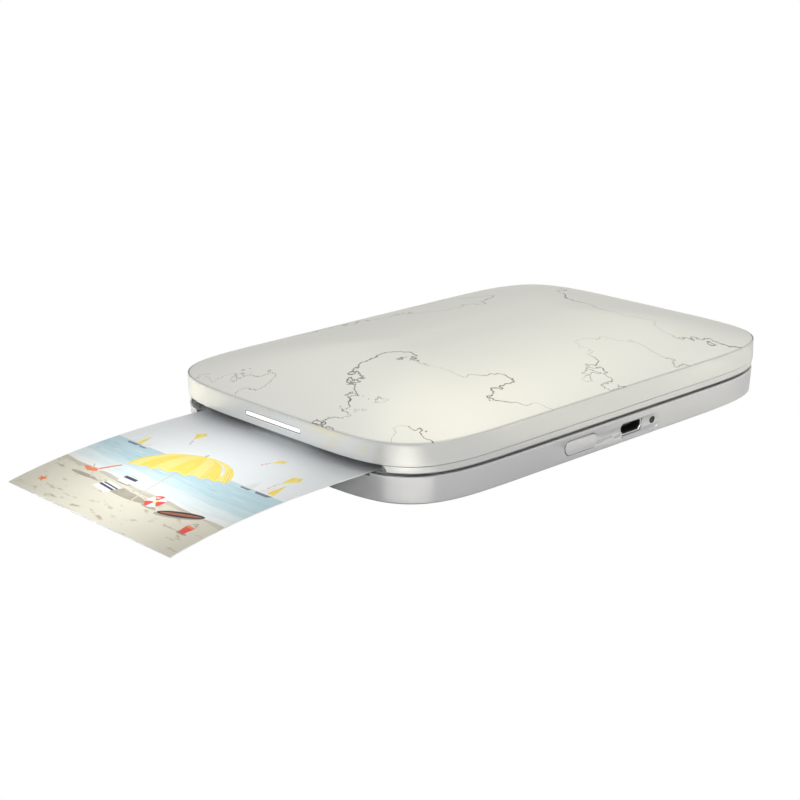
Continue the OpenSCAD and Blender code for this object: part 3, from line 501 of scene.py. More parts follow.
# the key's rounded edge: how far behind its face, and how much smaller
KEY_ROUND = [(0.15, 0), (0.07, 0.05), (0.02, 0.16), (0, 0.4)]
button_levels = [(SKIRT_X, SKIRT_L, BUTTON_H), (SKIRT_X + SKIRT_T, SKIRT_L, BUTTON_H),
                 (SKIRT_X + SKIRT_T + 0.01, BUTTON_L, BUTTON_H)]
button_levels += [(KEY_FACE_X - behind, BUTTON_L - shrink, BUTTON_H - shrink)
                  for behind, shrink in KEY_ROUND]
button = smooth(side_loft("power_key", BUTTON_Y, BUTTON_Z, button_levels), 50)
finish_piece(button, silver, "power_key", "button_silver", "power_button")

# ---- Charging socket ----
# A folded shell of plated steel with sloped lower corners, round a black moulded insulator
# whose tongue carries the contacts. It is soldered on the board and looks out of the scoop.
SHELL_T = 0.3
SHELL_X = WALL_X - SCOOP_DEEP + 0.02
SHELL_BACK_X = SHELL_X - 5.4
FLOOR_X = SHELL_X - 5.0
INSULATOR_X = SHELL_X - 0.3
TONGUE_W = 3.8


def grain_group():
    """Two shades and their mask from fine noise, stretched where the finish runs one way."""
    tree, given, made = group("fine_grain", [
        ("Dark", "NodeSocketColor", (0.5, 0.5, 0.5, 1)), ("Light", "NodeSocketColor", (0.6, 0.6, 0.6, 1)),
        ("Start", "NodeSocketFloat", 0.0), ("End", "NodeSocketFloat", 1.0),
        ("Scale", "NodeSocketFloat", 900.0), ("Detail", "NodeSocketFloat", 4.0),
        ("Breakup", "NodeSocketFloat", 0.5), ("Stretch", "NodeSocketVector", (1, 1, 1))],
        [("Color", "NodeSocketColor"), ("Mask", "NodeSocketFloat")])
    place = wire(tree, "ShaderNodeTexCoord")
    scaled = wire(tree, "ShaderNodeMapping", Vector=place.outputs["Object"], Scale=given.outputs["Stretch"])
    noise = wire(tree, "ShaderNodeTexNoise", Vector=scaled.outputs[0], Scale=given.outputs["Scale"],
                 Detail=given.outputs["Detail"], Roughness=given.outputs["Breakup"])
    mask = wire(tree, "ShaderNodeMapRange", Value=noise.outputs[0], From_Min=given.outputs["Start"],
                From_Max=given.outputs["End"])
    tint = wire(tree, "ShaderNodeMix", {"data_type": "RGBA"}, i0=mask.outputs[0], i6=given.outputs["Dark"],
                i7=given.outputs["Light"])
    tree.links.new(tint.outputs[2], made.inputs["Color"])
    tree.links.new(mask.outputs[0], made.inputs["Mask"])
    return tree


GRAIN = grain_group()


def grained(name, colour, metallic, roughness, scale, depth, bump_mm, stretch=(1, 1, 1)):
    """A solid material whose grain shows in its colour, by depth, and in its gloss and relief."""
    material, tree = blank_material(name)
    dark = tuple(c * (1 - depth) for c in colour)
    light = tuple(min(1.0, c * (1 + depth)) for c in colour)
    grain = wire(tree, "ShaderNodeGroup", {"node_tree": GRAIN}, Dark=(*dark, 1), Light=(*light, 1),
                 Scale=scale, Stretch=stretch)
    rough = wire(tree, "ShaderNodeMapRange", Value=grain.outputs["Mask"], To_Min=roughness * 0.8,
                 To_Max=min(1.0, roughness * 1.2))
    bump = wire(tree, "ShaderNodeBump", Strength=0.3, Distance=bump_mm * MM, Height=grain.outputs["Mask"])
    shader = wire(tree, "ShaderNodeBsdfPrincipled", Base_Color=grain.outputs["Color"], Metallic=metallic,
                  Roughness=rough.outputs[0], Normal=bump.outputs[0])
    wire(tree, "ShaderNodeOutputMaterial", Surface=shader.outputs[0])
    return material


plated_steel = grained("plated_steel", (0.72, 0.73, 0.75), 1, 0.18, 900, 0.05, 0.001)
dark_plastic = grained("dark_plastic", (0.02, 0.02, 0.022), 0, 0.5, 2000, 0.2, 0.01)
shell = over_wall("socket_shell", PORT_Y, PORT_Z, socket_outline, [
    (SHELL_T, SHELL_BACK_X), (SHELL_T, SHELL_X - 0.08), (SHELL_T - 0.08, SHELL_X), (0.08, SHELL_X),
    (0.0, SHELL_X - 0.1), (0.0, FLOOR_X)])
insulator = over_wall("socket_insulator", PORT_Y, PORT_Z, socket_outline, [
    (-0.01, FLOOR_X + 0.1), (-0.01, INSULATOR_X), (-0.12, INSULATOR_X), (-0.12, FLOOR_X + 0.4)])
tongue = box_tool("socket_tongue", (FLOOR_X + 0.3, PORT_Y - TONGUE_W / 2, PORT_Z - 0.1),
                  (SHELL_X - 1.6, PORT_Y + TONGUE_W / 2, PORT_Z + 0.4))
carve(insulator, tongue, operation="UNION")
finish_piece(smooth(shell, 25), plated_steel, "root", "plated_steel", "usb_socket")
finish_piece(smooth(insulator, 25), dark_plastic, "root", "dark_plastic")

# ---- Charge light ----
# A small round light guide of smoked acrylic, which carries the light of a lamp on the board
# to the wall. It is pressed from behind into a hole in the scoop, and its face is domed.
LENS_X = WALL_X - 0.72
# the guide and its domed face: how far behind the face's middle, and how wide there
LENS_ROUND = [(3, 1.5), (0.16, 1.5), (0.05, 1.26), (0, 0.8)]
lens = side_loft("charge_lens", LIGHT_Y, PORT_Z, [(LENS_X - behind, width + 0.02, width)
                                                  for behind, width in LENS_ROUND])
smoked = grained("smoked_lens", (0.03, 0.03, 0.034), 0, 0.2, 900, 0.1, 0.001)
finish_piece(smooth(lens, 50), smoked, "root", "smoked_lens", "charge_light")

# ---- Pad, battery and board ----
# The rubber pad under the belly, the foil-wrapped lithium cell, and the green circuit board with
# its black switch and paper sensor. Their solids are kept, and each only gets its finish.


def dress(material, *nodes):
    """Gives CAD solids that stay as they are the finish of what they are made of."""
    for name in nodes:
        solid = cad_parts[name]
        solid.data.materials.clear()
        solid.data.materials.append(material)


dress(grained("pad_rubber", (0.05, 0.05, 0.052), 0, 0.75, 1500, 0.2, 0.02), "base_pad")
dress(grained("cell_foil", (0.62, 0.63, 0.65), 0.8, 0.4, 200, 0.05, 0.02), "battery")
board_green = grained("board_green", (0.02, 0.13, 0.06), 0, 0.4, 700, 0.25, 0.01)
dress(board_green, "main_board")
dress(dark_plastic, "power_switch", "paper_sensor")

# ---- Frame ----
# The middle moulding with the paper tray, held in the base by four screws. Its recessed neck
# shows between base and cover as a bright rounded bead, so a smooth skin is fitted over it.
FRONT_Y = BODY_L / 2
SLOT_W = 62.0
SLOT_LOW = 11.1
SLOT_HIGH = 13.72
NECK_TOP = 13.7
# the bead's rounded underside, as (inset, height)
NECK_ROUND = [(0.2, 12.62), (0.23, 12.46), (0.31, 12.33), (0.46, 12.21), (0.7, 12.1), (1.1, 11.99),
              (1.55, 11.9), (2.0, 11.87)]


def front_loft(name, z, sections):
    """A solid across the front wall through slots of (y, length, height)."""
    piece = side_loft(name, 0, 0, sections)
    piece.data.transform(Matrix.Rotation(math.radians(-90), 4, "Z"))
    piece.data.transform(Matrix.Translation((0, 0, z * MM)))
    return piece


neck = loft("neck_bead", [(0.24, NECK_TOP), (0.2, NECK_TOP - 0.04)] + NECK_ROUND
            + [(2.0, 12.6), (1.0, NECK_TOP)], ring=True)
slot = (SLOT_W, SLOT_HIGH - SLOT_LOW)
slot_z = (SLOT_LOW + SLOT_HIGH) / 2
carve(neck, front_loft("exit_slot", slot_z, [(FRONT_Y - 6, *slot), (FRONT_Y + 1, *slot)]))
smooth(neck)
frame_lacquer = lacquered("frame_silver", (0.80, 0.80, 0.80), 0.92, 0.2)
finish_piece(neck, frame_lacquer, "root", "frame_silver")
dress(lacquered("frame_inner", (0.80, 0.80, 0.80), 0.3, 0.35), "middle_frame")
dress(plated_steel, "housing_screws", "frame_magnets")

# ---- Chassis and rollers ----
# A chassis of bent sheet steel, screwed on the frame over the paper's way out. In it run the
# platen and the pick-up roller: turned steel shafts with moulded rubber, in brass bushes.
sheet_steel = grained("sheet_steel", (0.55, 0.56, 0.58), 1, 0.35, 500, 0.08, 0.004, (1, 12, 1))
turned_steel = grained("turned_steel", (0.62, 0.63, 0.65), 1, 0.25, 2500, 0.08, 0.003, (8, 1, 1))
bearing_brass = grained("bearing_brass", (0.62, 0.43, 0.18), 1, 0.3, 1500, 0.1, 0.004)
roller_rubber = grained("roller_rubber", (0.03, 0.03, 0.032), 0, 0.6, 2500, 0.2, 0.02)
dress(sheet_steel, "print_chassis")
dress(plated_steel, "chassis_screws")
dress(turned_steel, "platen_shaft", "pick_shaft")
dress(bearing_brass, "shaft_bushes")
dress(roller_rubber, "platen_rubber", "pick_tyres")

# ---- Motor and gears ----
# A small can motor with a brass pinion drives five moulded nylon wheels, which run on steel
# axles and on the ends of the roller shafts.
gear_nylon = grained("gear_nylon", (0.80, 0.79, 0.74), 0, 0.45, 1200, 0.05, 0.008)
dress(turned_steel, "feed_motor", "idler_axles")
dress(bearing_brass, "motor_pinion")
dress(gear_nylon, "platen_gear", "front_idler", "drive_gear", "rear_idler", "pick_gear")

# ---- Print head ----
# A ceramic bar with the heating dots, bonded to an aluminium carrier that two wire springs
# press on the paper.
head_ceramic = grained("head_ceramic", (0.72, 0.69, 0.60), 0, 0.35, 900, 0.06, 0.004)
sink_aluminium = grained("sink_aluminium", (0.66, 0.67, 0.69), 1, 0.34, 500, 0.07, 0.004, (10, 1, 1))
spring_steel = grained("spring_steel", (0.45, 0.46, 0.48), 1, 0.3, 1500, 0.08, 0.003)
dress(head_ceramic, "print_head")
dress(sink_aluminium, "heat_sink")
dress(spring_steel, "head_springs")

# ---- Pressure plate ----
# A stamped steel plate under the cover. Two springs round its pins push it down on the stack
# of paper.
pressed_steel = grained("pressed_steel", (0.58, 0.59, 0.61), 0.9, 0.38, 400, 0.08, 0.004, (10, 1, 1))
dress(pressed_steel, "pressure_plate")
dress(spring_steel, "plate_springs")

# ---- Photo ----
# A glossy sheet of 2 by 3 inch thermal paper that curls down as it leaves the slot. The print is
# a beach with a striped parasol, a ball, a towel, a deck chair, kites and sailing boats.
SHEET_W = 53.4
HALF = SHEET_W / 2
SHEET_T = 0.22
SHEET_Z = 11.36
SHEET_OUT = 44.1
FLAT_Y = -BODY_L / 2 + 3.75
TIP_Y = -BODY_L / 2 - SHEET_OUT
BEND_RUN = FLAT_Y - TIP_Y
BEND_STEPS = 40
DROOP = 3.78
DROOP_POWER = 2.85
sheet_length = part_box("photo_sheet")[1].y / MM - TIP_Y


def droop(y):
    """How far the sheet has sunk at y, in millimetres."""
    t = max(0.0, (FLAT_Y - y) / BEND_RUN)
    return DROOP * t ** DROOP_POWER


def sheet_place(u, s, up):
    """A point u across and s along the sheet from its free end, up above its underside."""
    y = TIP_Y + s
    return (u * MM, y * MM, (SHEET_Z - droop(y) + up) * MM)


def wavy(u0, u1, s0, s1, swing, waves, steps, phase):
    """A wavy line across the sheet from (u0, s0) to (u1, s1)."""
    line = []
    for i in range(steps + 1):
        t = i / steps
        ripple = math.sin(phase + waves * 2 * math.pi * t) + 0.4 * math.sin(2.7 * phase + waves * 17 * t)
        line.append((u0 + (u1 - u0) * t, s0 + (s1 - s0) * t + swing * ripple))
    return line


def blob(u, s, ru, rs, turn=0.0, steps=26, start=0.0, sweep=360.0):
    """An ellipse, or a sector of one, about (u, s)."""
    c = math.cos(math.radians(turn))
    d = math.sin(math.radians(turn))
    arc = [math.radians(start + sweep * i / steps) for i in range(steps + (sweep < 360))]
    return [(u + ru * math.cos(a) * c - rs * math.sin(a) * d,
             s + ru * math.cos(a) * d + rs * math.sin(a) * c) for a in arc]


def stroke(a, b, wide, narrow=None):
    """A straight line of ink from a to b, narrow at its far end."""
    along = Vector((b[0] - a[0], b[1] - a[1])).normalized()
    across = Vector((-along.y, along.x))
    end = wide if narrow is None else narrow
    return [tuple(Vector(a) - across * wide / 2), tuple(Vector(b) - across * end / 2),
            tuple(Vector(b) + across * end / 2), tuple(Vector(a) + across * wide / 2)]


# where the water and the sand end: left and right, swing, waves, steps and phase of the wavy edge
SHORE = {
    "shallows": (19.5, 18.1, 0.25, 2.2, 36, 0.4),
    "surf": (17.6, 15.7, 0.22, 3.1, 44, 1.7),
    "foam": (14.6, 12.9, 0.3, 2.3, 44, 0.3),
    "wet": (13.2, 11.7, 0.2, 2.8, 44, 2.6),
    "sand": (12.2, 10.8, 0.25, 1.7, 44, 5.1),
}


def ground():
    """Sky, sea and sand across the whole sheet, each drawn down to its free end."""
    free_end = [(-HALF, 0), (HALF, 0)]
    bands = [("sky", free_end + [(HALF, sheet_length), (-HALF, sheet_length)]),
             ("haze", free_end + [(HALF, 29.5), (-HALF, 30.5)]),
             ("sea", free_end + [(HALF, 25.2), (-HALF, 25.5)])]
    bands += [(ink, free_end + wavy(-HALF, HALF, *edge)[::-1]) for ink, edge in SHORE.items()]
    return bands


def small_waves():
    """Short light and dark strokes spread over the sea."""
    crests = []
    for i in range(17):
        u = -24.5 + (i * 19.7) % 47
        s = 19.0 + (i * 2.63) % 5.6
        ink = "crest" if i % 3 else "deep"
        crests.append((ink, blob(u, s, 1.1 + 0.35 * (i % 4), 0.07 + 0.02 * (i % 2), steps=12)))
    return crests


HORIZON_S = 24.4


def boat(u, size, sail):
    """A sailing boat on the horizon, with its mainsail in the ink sail."""
    s = HORIZON_S
    return [("hull", [(u - 1.5 * size, s + 0.5 * size), (u - 1.1 * size, s), (u + 1.1 * size, s),
                      (u + 1.7 * size, s + 0.6 * size)]),
            (sail, [(u + 0.1 * size, s + 0.9 * size), (u + 1.5 * size, s + 0.9 * size),
                    (u + 0.1 * size, s + 4.2 * size)]),
            ("canvas", [(u - 0.1 * size, s + 0.9 * size), (u - 0.1 * size, s + 3.6 * size),
                        (u - 1.2 * size, s + 0.9 * size)])]


def kite(u, s, turn, size):
    """A kite with a short tail of two bows."""
    c = math.cos(math.radians(turn))
    d = math.sin(math.radians(turn))

    def at(a, b):
        return (u + size * (a * c - b * d), s + size * (a * d + b * c))

    return [("yellow", [at(0, -1.6), at(0.9, 0.4), at(0, 1.2), at(-0.9, 0.4)]),
            ("amber", [at(0, -1.6), at(0.9, 0.4), at(0, 0.4)]),
            ("amber", [at(0, 1.2), at(-0.9, 0.4), at(0, 0.4)]),
            ("line", stroke(at(0, -1.6), at(0.5, -3.3), 0.09)),
            ("coral", blob(*at(0.25, -2.4), 0.32, 0.14, turn + 25, 8)),
            ("coral", blob(*at(0.48, -3.2), 0.32, 0.14, turn - 15, 8))]


HUB = Vector((-0.6, 20.6))
LEAN = -14.0
SPAN = 12.4
DEEP = 9.3
PANELS = 9


def parasol():
    """A striped parasol, seen from the side, leaning on its pole, with its shade on the sand."""
    axis = Vector((math.sin(math.radians(LEAN)), math.cos(math.radians(LEAN))))
    side = Vector((axis.y, -axis.x))
    shapes = [("shade", blob(-0.8, 9.4, 6.4, 1.1, 0, 24)),
              ("pole", stroke(tuple(HUB + axis * 6), tuple(HUB - axis * 13.2), 0.42, 0.36))]
    for i in range(PANELS):
        left, right = (-math.cos(math.pi * (i + k) / PANELS) for k in (0, 1))
        rim = [HUB + side * SPAN * (left + (right - left) * k / 6)
               + axis * (0.9 * math.sin(math.pi * k / 6) - 0.2) for k in range(7)]
        up = [math.pi / 2 * k / 8 for k in range(1, 9)]
        climb = [HUB + side * SPAN * right * math.cos(a) + axis * DEEP * math.sin(a) for a in up]
        drop = [HUB + side * SPAN * left * math.cos(a) + axis * DEEP * math.sin(a) for a in up[-2::-1]]
        shapes.append((("yellow", "amber")[i % 2], [tuple(p) for p in rim + climb + drop]))
        shapes.append(("rib", stroke(tuple(HUB + side * SPAN * right),
                                     tuple(HUB + side * SPAN * right * 0.72 + axis * DEEP * 0.69), 0.07)))
    shapes.append(("pole", blob(*(HUB + axis * (DEEP + 0.4)), 0.35, 0.75, -LEAN, 12)))
    shapes.append(("canvas", [tuple(HUB + side * SPAN * e * math.cos(a) + axis * DEEP * 0.97 * math.sin(a))
                              for e, turns in ((0.80, range(2, 9)), (0.73, range(8, 1, -1)))
                              for a in [math.pi / 20 * k for k in turns]]))
    return shapes


def deck_chair():
    """A deck chair: crossed poles with coral cloth, bound in white."""
    return [("shade", blob(-15.6, 9.9, 4.0, 0.55, 2, 16)),
            ("pole", stroke((-19.0, 10.2), (-12.6, 15.2), 0.34)),
            ("pole", stroke((-13.2, 10.0), (-17.8, 13.9), 0.34)),
            ("coral", [(-18.7, 12.0), (-16.5, 11.3), (-14.3, 12.2), (-11.9, 16.3), (-12.9, 16.9),
                       (-15.3, 13.2), (-16.7, 12.5), (-18.3, 13.0)]),
            ("canvas", [(-14.9, 12.6), (-14.3, 12.2), (-11.9, 16.3), (-12.4, 16.6)]),
            ("pole", stroke((-19.0, 12.7), (-14.6, 13.0), 0.3))]


def towel_and_cool_box():
    """A striped towel on the sand, and a cool box with a navy lid behind it."""
    return [("canvas", [(-10.2, 8.1), (-5.2, 7.6), (-3.4, 10.6), (-8.4, 11.2)]),
            ("navy", [(-9.5, 9.3), (-4.5, 8.8), (-4.2, 9.3), (-9.2, 9.8)]),
            ("navy", [(-9.0, 10.1), (-4.0, 9.6), (-3.8, 9.95), (-8.8, 10.45)]),
            ("shade", blob(-5.4, 12.0, 2.2, 0.4, 0, 12)),
            ("canvas", [(-7.4, 12.0), (-3.8, 12.0), (-3.8, 13.6), (-7.4, 13.6)]),
            ("navy", [(-7.6, 13.6), (-3.6, 13.6), (-3.7, 14.4), (-7.5, 14.4)]),
            ("pole", stroke((-6.6, 14.8), (-4.6, 14.8), 0.2))]


BALL_U = 6.9
BALL_S = 10.9
BALL_R = 2.15


def beach_ball():
    """A red ball with three white sectors, an amber cap and a glint."""
    sectors = [("canvas", [(BALL_U, BALL_S)] + blob(BALL_U, BALL_S, BALL_R, BALL_R, turn, 8, 0, 58))
               for turn in (25, 145, 265)]
    return [("shade", blob(BALL_U + 0.6, BALL_S - BALL_R + 0.1, 2.3, 0.5, 0, 14)),
            ("red", blob(BALL_U, BALL_S, BALL_R, BALL_R)), *sectors,
            ("amber", blob(BALL_U, BALL_S, 0.5, 0.5, 0, 12)),
            ("glint", blob(BALL_U - 0.8, BALL_S + 1.1, 0.55, 0.26, 35, 12))]


def surfboard():
    """A black board with a coral stripe, laid on the sand."""
    return [("shade", blob(15.4, 9.7, 5.4, 1.0, 19, 24)), ("board", blob(15.6, 10.3, 5.3, 1.0, 19, 30)),
            ("coral", blob(15.6, 10.3, 4.6, 0.28, 19, 24)), ("board", blob(15.6, 10.3, 4.5, 0.1, 19, 20))]


def bucket_and_starfish():
    """A red bucket with its handle up, and a starfish at the other side of the beach."""
    star = []
    for k in range(10):
        reach = 1.3 if k % 2 == 0 else 0.5
        star.append((-21.5 + reach * math.sin(math.pi * k / 5), 4.4 + reach * math.cos(math.pi * k / 5)))
    return [("shade", blob(21.6, 6.0, 1.5, 0.35, 0, 12)),
            ("red", [(20.1, 8.3), (20.5, 6.0), (22.1, 6.0), (22.5, 8.3)]),
            ("coral", blob(21.3, 8.3, 1.2, 0.32)), ("line", stroke((20.2, 8.5), (21.3, 9.9), 0.12)),
            ("line", stroke((21.3, 9.9), (22.4, 8.5), 0.12)), ("coral", star)]


BOATS = [(-20.6, 1.25, "yellow"), (-17.2, 0.8, "canvas"), (16.0, 1.0, "canvas"), (20.9, 1.5, "yellow")]
KITES = [(-13.5, 36.2, 20, 1.5), (10.5, 37.6, -35, 1.15), (20.0, 33.0, -15, 1.7)]
picture = ground() + small_waves()
for each in BOATS:
    picture += boat(*each)
for each in KITES:
    picture += kite(*each)
picture += parasol() + deck_chair() + towel_and_cool_box() + beach_ball() + surfboard()
picture += bucket_and_starfish()


def on_sheet(points):
    """Keeps a shape on the sheet and turns it anticlockwise, as the cutter needs."""
    kept = [(min(max(u, -HALF), HALF), min(max(s, 0.0), sheet_length)) for u, s in points]
    area = sum(a[0] * b[1] - b[0] * a[1] for a, b in zip(kept, kept[1:] + kept[:1]))
    return kept if area > 0 else kept[::-1]


KEEP_INSIDE = 1
MERGE_AT = 1e-5


def print_mesh(name, shapes):
    """Flat shapes, later ones on top, cut into one mesh that bends with the sheet, and their inks."""
    verts, edges, faces = [], [], []
    for _, points in shapes:
        start = len(verts)
        verts += [Vector(p) for p in points]
        faces.append(list(range(start, start + len(points))))
    for i in range(1, BEND_STEPS):
        s = i * BEND_RUN / BEND_STEPS
        start = len(verts)
        verts += [Vector((-HALF, s)), Vector((HALF, s))]
        edges.append((start, start + 1))
    out_v, _, out_f, _, _, origin = delaunay_2d_cdt(verts, edges, faces, KEEP_INSIDE, MERGE_AT)
    mesh = bpy.data.meshes.new(name)
    build = bmesh.new()
    top = [build.verts.new(sheet_place(v.x, v.y, SHEET_T)) for v in out_v]
    inks = sorted({ink for ink, _ in shapes})
    for face, sources in zip(out_f, origin):
        if not sources:
            continue
        made = build.faces.new([top[i] for i in face])
        made.material_index = inks.index(shapes[max(sources)][0])
    build.normal_update()
    build.to_mesh(mesh)
    build.free()
    return new_object(name, mesh), inks


photo_print, inks = print_mesh("photo_print", [(ink, on_sheet(points)) for ink, points in picture])


def ink_material(name, colour, second=None, scale=900.0, stretch=(1, 1, 1), start=0.35, end=0.68):
    """A dye in the coating of glossy paper, with the grain of the thing in the picture."""
    material, tree = blank_material("ink_" + name)
    other = second or tuple(c * 0.93 for c in colour)
    grain = wire(tree, "ShaderNodeGroup", {"node_tree": GRAIN}, Dark=(*colour, 1), Light=(*other, 1),
                 Start=start, End=end, Scale=scale, Detail=5.0, Breakup=0.6, Stretch=stretch)
    shader = wire(tree, "ShaderNodeBsdfPrincipled", Base_Color=grain.outputs["Color"], Roughness=0.34,
                  Specular_IOR_Level=0.3, Coat_Weight=0.1, Coat_Roughness=0.15)
    wire(tree, "ShaderNodeOutputMaterial", Surface=shader.outputs[0])
    return material


INKS = {
    "sky": ink_material("sky", (0.86, 0.90, 0.93), (0.88, 0.91, 0.93), 30.0, (1, 3, 1)),
    "haze": ink_material("haze", (0.90, 0.92, 0.93), (0.85, 0.89, 0.92), 45.0, (1, 4, 1)),
    "sea": ink_material("sea", (0.45, 0.66, 0.74), (0.56, 0.74, 0.79), 260.0, (0.25, 2.2, 1)),
    "shallows": ink_material("shallows", (0.55, 0.73, 0.78), (0.68, 0.80, 0.83), 260.0, (0.25, 2.2, 1)),
    "surf": ink_material("surf", (0.80, 0.86, 0.87), (0.68, 0.80, 0.83), 240.0, (0.3, 2.6, 1)),
    "foam": ink_material("foam", (0.87, 0.88, 0.86), (0.78, 0.82, 0.81), 420.0, (0.4, 1.5, 1)),
    "wet": ink_material("wet", (0.62, 0.59, 0.49), (0.50, 0.46, 0.36), 380.0, (0.4, 1.4, 1)),
    "sand": ink_material("sand", (0.70, 0.67, 0.56), (0.36, 0.29, 0.15), 560.0, (0.45, 1.3, 1), 0.58, 0.72),
    "deep": ink_material("deep", (0.32, 0.53, 0.63)),
    "crest": ink_material("crest", (0.82, 0.88, 0.89)),
    "yellow": ink_material("yellow", (0.95, 0.73, 0.09), (0.96, 0.77, 0.14), 200.0),
    "amber": ink_material("amber", (0.96, 0.81, 0.26), (0.95, 0.78, 0.20), 200.0),
    "rib": ink_material("rib", (0.72, 0.50, 0.08)),
    "pole": ink_material("pole", (0.66, 0.60, 0.50)),
    "canvas": ink_material("canvas", (0.86, 0.86, 0.84), (0.78, 0.78, 0.77), 500.0),
    "hull": ink_material("hull", (0.16, 0.20, 0.27)),
    "line": ink_material("line", (0.30, 0.28, 0.26)),
    "coral": ink_material("coral", (0.87, 0.24, 0.08), (0.80, 0.18, 0.05), 500.0),
    "red": ink_material("red", (0.80, 0.07, 0.05), (0.70, 0.05, 0.04), 500.0),
    "navy": ink_material("navy", (0.02, 0.035, 0.08)),
    "board": ink_material("board", (0.012, 0.012, 0.014)),
    "glint": ink_material("glint", (0.95, 0.80, 0.76)),
    "shade": ink_material("shade", (0.42, 0.39, 0.32), (0.34, 0.30, 0.22), 600.0, (0.45, 1.3, 1)),
}
for ink in inks:
    photo_print.data.materials.append(INKS[ink])
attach(photo_print, "photo")


PRINT_T = 0.004


def sheet_body():
    """The paper itself: underside and cut edges."""
    mesh = bpy.data.meshes.new("photo_base")
    build = bmesh.new()
    along = [BEND_RUN * i / BEND_STEPS for i in range(BEND_STEPS + 1)] + [sheet_length]
    low = [[build.verts.new(sheet_place(u, s, 0)) for u in (-HALF, HALF)] for s in along]
    high = [[build.verts.new(sheet_place(u, s, SHEET_T - PRINT_T)) for u in (-HALF, HALF)] for s in along]
    for a, b in zip(range(len(along) - 1), range(1, len(along))):
        build.faces.new((low[a][0], low[b][0], low[b][1], low[a][1]))
        build.faces.new((high[a][0], high[a][1], high[b][1], high[b][0]))
        for k in (0, 1):
            build.faces.new((low[a][k], low[b][k], high[b][k], high[a][k]))
    for end in (0, len(along) - 1):
        build.faces.new((low[end][0], low[end][1], high[end][1], high[end][0]))
    bmesh.ops.recalc_face_normals(build, faces=build.faces)
    build.to_mesh(mesh)
    build.free()
    return new_object("photo_base", mesh)


paper_white = ink_material("paper", (0.86, 0.87, 0.87), (0.83, 0.84, 0.84), 500.0)
finish_piece(sheet_body(), paper_white, "photo", "photo_paper", "photo_sheet")

# ---- Cover ----
# Two mouldings snapped together: a pearl band that carries the status light, and a domed
# panel with a fine contour-line print under satin lacquer. Magnets hold it on the frame.
SEAM_Z = 13.74
SEAM_LINE = 0.09
CREASE_Z = 18.43
CROWN_H = 6.6
DOME_RUN = 39.5
DOME_REACH = 35.0
DOME_STEPS = 44
DOME_SPREAD = 1.25
UNDER_REACH = 33.0
UNDER_STEPS = 12
COVER_WALL = 1.2
LIP_INSET = 0.12
PANEL_EDGE = 0.23
SHELF_INSET = 2.2
SHELF_Z = CREASE_Z - 1.13
BAND_LOW = SEAM_Z + SEAM_LINE
band = loft("cover_band", [(0.3, BAND_LOW), (0.08, BAND_LOW), (0.02, SEAM_Z + 0.14),
                           (0.0, SEAM_Z + 0.26), (0.0, SEAM_Z + 1.2), (0.0, CREASE_Z - 0.7),
                           (0.0, CREASE_Z - 0.14), (0.02, CREASE_Z - 0.06), (0.07, CREASE_Z - 0.02),
                           (LIP_INSET, CREASE_Z - 0.04), (LIP_INSET, SHELF_Z), (SHELF_INSET, SHELF_Z),
                           (SHELF_INSET, SHELF_Z - 0.6), (1.3, SHELF_Z - 0.8), (1.3, BAND_LOW)], ring=True)
BAR_L = 17.4
BAR_H = 1.0
BAR_Z = SEAM_Z + 2.15
window = (BAR_L + 0.1, BAR_H + 0.1)
carve(band, front_loft("light_window", BAR_Z, [(FRONT_Y - 5, *window), (FRONT_Y + 1, *window)]))
smooth(band)
pearl_band = lacquered("pearl_band", (0.84, 0.84, 0.83), 0.92, 0.25)
finish_piece(band, pearl_band, "cover", "band_pearl", "cover_rim")
dress(plated_steel, "cover_magnets")


def dome_z(inset):
    """Height of the dome's skin, inset millimetres in from the wall."""
    return CREASE_Z + CROWN_H * (1 - (1 - min(inset, DOME_RUN) / DOME_RUN) ** 2) - 0.1


dome = [(PANEL_EDGE, SHELF_Z + 0.02), (PANEL_EDGE, dome_z(PANEL_EDGE) - 0.05)]
dome += [(PANEL_EDGE + 0.04 + t, dome_z(PANEL_EDGE + 0.04 + t)) for t in
         [DOME_REACH * (i / DOME_STEPS) ** DOME_SPREAD for i in range(DOME_STEPS + 1)]]
under = [(SHELF_INSET + t, dome_z(SHELF_INSET + t) - COVER_WALL) for t in
         [UNDER_REACH * (i / UNDER_STEPS) for i in range(UNDER_STEPS, -1, -1)]]
panel_top = loft("cover_dome", under + [(SHELF_INSET, SHELF_Z + 0.02)] + dome)
smooth(panel_top, 50)


